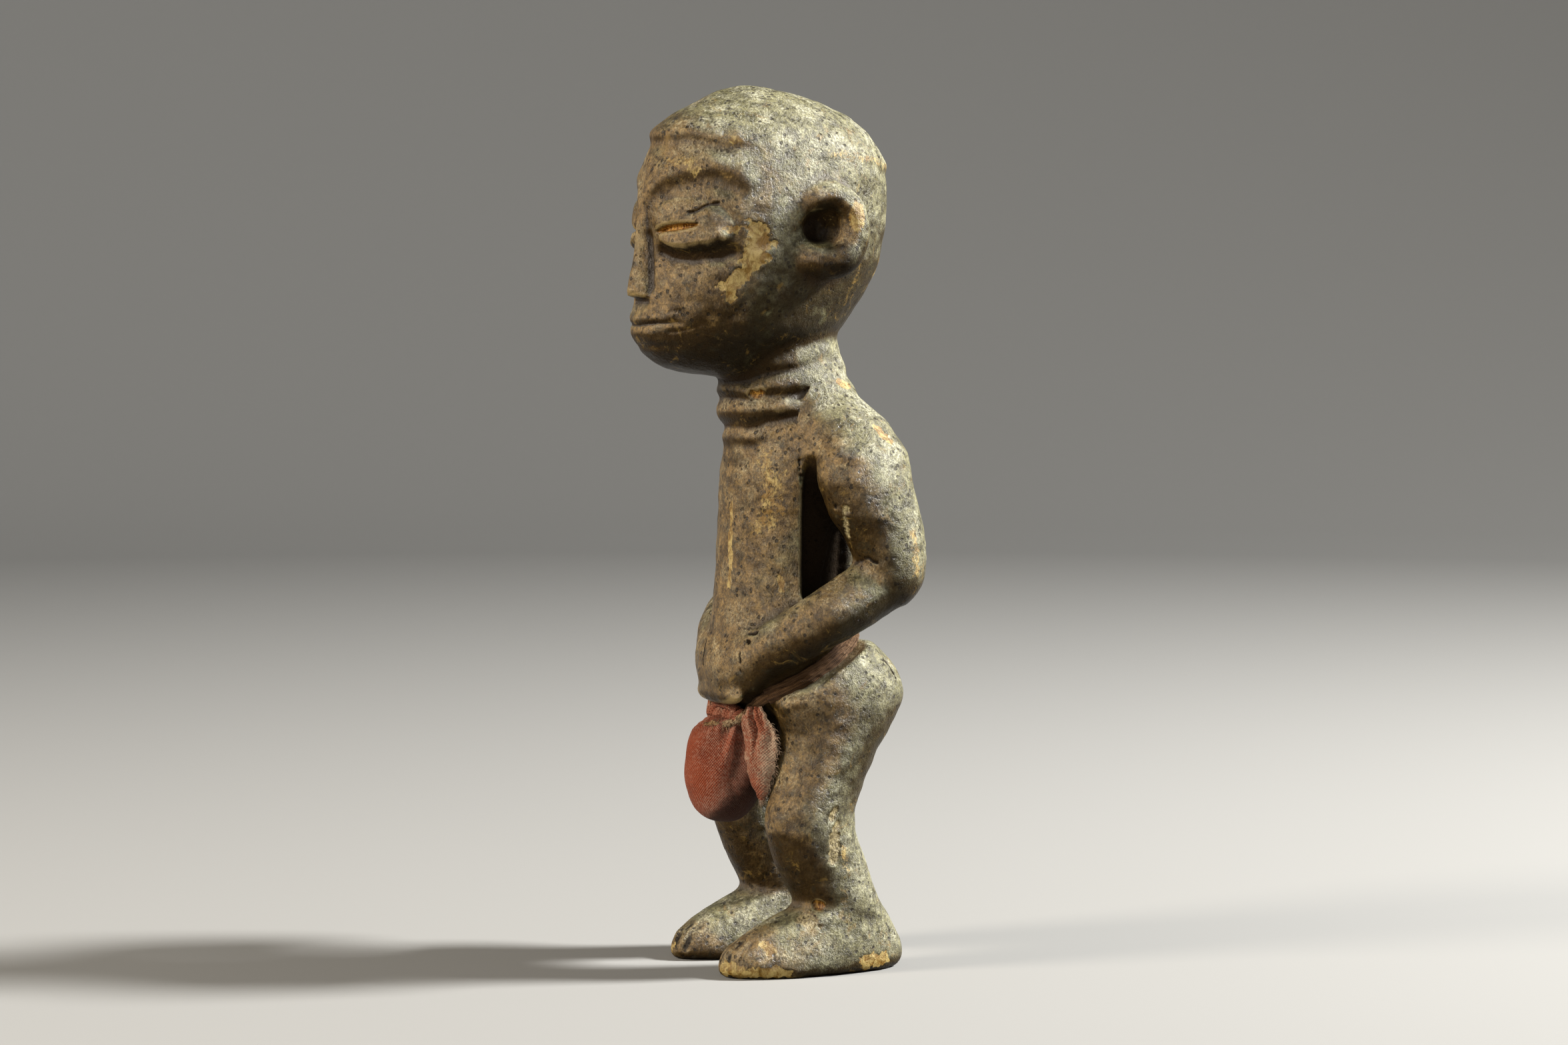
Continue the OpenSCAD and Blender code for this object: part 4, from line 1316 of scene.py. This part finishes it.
def make_band(material):
    """The waist band: a flat roll of cloth and a thinner twisted strand above it."""
    ring, upright = waist_ring(420)

    def flat_roll(along, angle):
        wobble = 1 + 0.10 * np.sin(0.55 * along) + 0.06 * np.sin(1.7 * along + 1)
        lay = 0.13 * np.sin(5 * angle + 1.5 * along)
        return (1.2 + lay) * wobble * np.cos(angle), (1.9 + lay) * wobble * np.sin(angle)
    lower = sweep(ring - 0.7 * upright, flat_roll, upright)
    upper = sweep(ring + 1.9 * upright, rope(1.0, 0.16), upright)
    points, faces, values = joined(lower, upper)
    values["grime"] = 0.30 + 0.35 * noise(points, 7, 61)
    values["dust"] = -0.05 + 0.35 * ramp(points[:, 1], 5, 25) + 0.2 * noise(points, 5, 64)
    cloth_piece("waist_band_cloth", points, faces, values, material, "figure", "band_cloth", "waist_band")


def make_tie(material, dusty):
    """The band's own ends, which run down to the cord that the pouch hangs from, and the folds round it."""
    ring, _ = waist_ring(60)
    parts = []
    for side in SIDES:
        end = to_side(ring[0], side)
        places = [end + (side * 0.6, 0.5, 0.6), end, to_side(GATHER, side) + (side * 2.6, 0.9, 2.2),
                  to_side(GATHER, side) + (0, -0.4, -1.2), HINGE + (side * 6, 0, 0)]
        path = smooth_path(places, 110)

        def tapering(along, angle):
            wide = np.interp(along, [0, 6, 10, 14], [1.9, 1.75, 1.4, 1.2])
            lay = 0.12 * np.sin(4 * angle + 1.7 * along)
            return (1.15 + lay) * np.cos(angle), (wide + lay) * np.sin(angle)
        parts.append(sweep(path, tapering, (0, -0.4, 1)))
    middle = smooth_path([HINGE - (7, 0, 0), HINGE + (0, 0, 0), HINGE + (7, 0, 0)], 40)
    parts.append(sweep(middle, rope(1.2, 0.2), (0, 0, 1)))
    points, faces, values = joined(*parts)
    soiled(points, values, grime=(0.30, 0.3, 5, 62), dust=(0.0, 0.3, 4, 65))
    cloth_piece("tie_cord_twist", points, faces, values, material, "figure", "band_cloth", "tie_cord")

    folds = []
    for side in SIDES:
        across, face = flap_ways(side)
        foot = to_side(GATHER, side)
        for share, thick, drop in ((0.30, 0.8, 2.5), (0.62, 1.0, 5.5), (0.92, 0.9, 8.0)):
            places = [foot + (1.0 + 8.4 * share) * across + 0.5 * face + (0, 0, -drop),
                      foot + (0.9 + 6.6 * share) * across + 1.2 * face + (0, 0, -0.4 * drop),
                      foot + (1.0 + 5.0 * share) * across + 1.3 * face + (0, 0, 0.8),
                      foot + (1.4 + 4.2 * share) * across + 0.4 * face + (0, 0, 3.0)]

            def plump(along, angle, thick=thick, drop=drop):
                swell = np.interp(along / (drop + 3.5), [0, 0.2, 0.5, 0.8, 1], [0.25, 0.7, 1.0, 1.0, 0.6])
                return (thick * swell * (1 + 0.15 * np.sin(3 * angle + along)) * np.cos(angle),
                        0.8 * thick * swell * np.sin(angle))
            folds.append(sweep(smooth_path(places, 50), plump, face))
    wad = [HINGE + (-9, -1.0, 3.0), HINGE + (-3.5, -2.0, 4.0), HINGE + (3, -2.0, 4.0), HINGE + (9, -0.6, 3.0)]
    folds.append(sweep(smooth_path(wad, 60), rope(1.35, 0.15), (0, 0, 1)))
    points, faces, values = joined(*folds)
    soiled(points, values, dust=(0.15, 0.3, 3, 66), grime=(0.40, 0.4, 2.5, 67))
    cloth_piece("tie_cord_folds", points, faces, values, dusty, "figure", "dusty_cloth")


def make_knot(material):
    """The band's flat knot at the back, with its two short tails."""
    low, high = box_mm("band_knot")
    middle = (low + high) / 2
    back = high[1]
    loop = []
    for turn in np.linspace(0, 2 * math.pi, 9):
        across = 3.4 * math.cos(turn) * (1 + 0.12 * math.sin(2 * turn))
        loop.append((across, back - 2.2 + 0.7 * math.cos(2 * turn), middle[2] + 2.0 * math.sin(turn)))
    parts = [sweep(smooth_path(loop, 90), rope(1.15, 0.2), (0.2, 1.0, 0.1))]
    over = [(-1.6, back - 2.6, middle[2] + 2.4), (-0.4, back - 0.9, middle[2] + 0.6),
            (1.4, back - 2.6, middle[2] - 2.2)]
    parts.append(sweep(smooth_path(over, 40), rope(1.25, 0.2), (1.0, 0.1, 0.2)))
    for side in SIDES:
        tail = [(side * 1.0, back - 1.6, middle[2] + 0.4), (side * 2.6, back - 0.9, middle[2] - 1.8),
                (side * 3.6, back - 1.5, middle[2] - 5.2), (side * 3.9, back - 2.4, middle[2] - 9.0)]

        def ribbon(along, angle):
            spread = 1 + 0.05 * along
            return 0.75 * np.cos(angle), (1.15 + 0.12 * np.sin(6 * angle + along)) * spread * np.sin(angle)
        parts.append(sweep(smooth_path(tail, 40), ribbon, (1.0, 0.15, 0.2)))
        random = np.random.default_rng(71 + side)
        ends = tail[-1] + random.normal(0, 0.5, (22, 3)) * (1.4, 0.5, 0.4)
        ways = np.tile([side * 0.1, 0.0, -1.0], (22, 1))
        parts.append(threads(ends, ways, np.linspace(1, 2.8, 22), 73 + side))
    points, faces, values = joined(*parts)
    soiled(points, values, grime=(0.15, 0.35, 5, 63), dust=(0.35, 0.3, 4, 68))
    cloth_piece("band_knot_cloth", points, faces, values, material, "figure", "band_cloth", "band_knot")


def make_loincloth():
    band = cloth_material("band_cloth", ((0.024, 0.010, 0.003), (0.066, 0.031, 0.011), (0.14, 0.075, 0.032)),
                          PITCH, (0.27, 0.17, 0.10), 0.22, slant=1.0)
    dusty = cloth_material("dusty_cloth", ((0.110, 0.022, 0.010), (0.205, 0.052, 0.024), (0.38, 0.15, 0.085)),
                           PITCH, (0.44, 0.33, 0.23), 0.22)
    make_bag()
    make_hem()
    for side in SIDES:
        make_flap(side, dusty)
    make_band(band)
    make_tie(band, dusty)
    make_knot(band)


bpy.context.scene.view_settings.view_transform = "Standard"
make_camera()
make_stage()
make_carving()
make_loincloth()
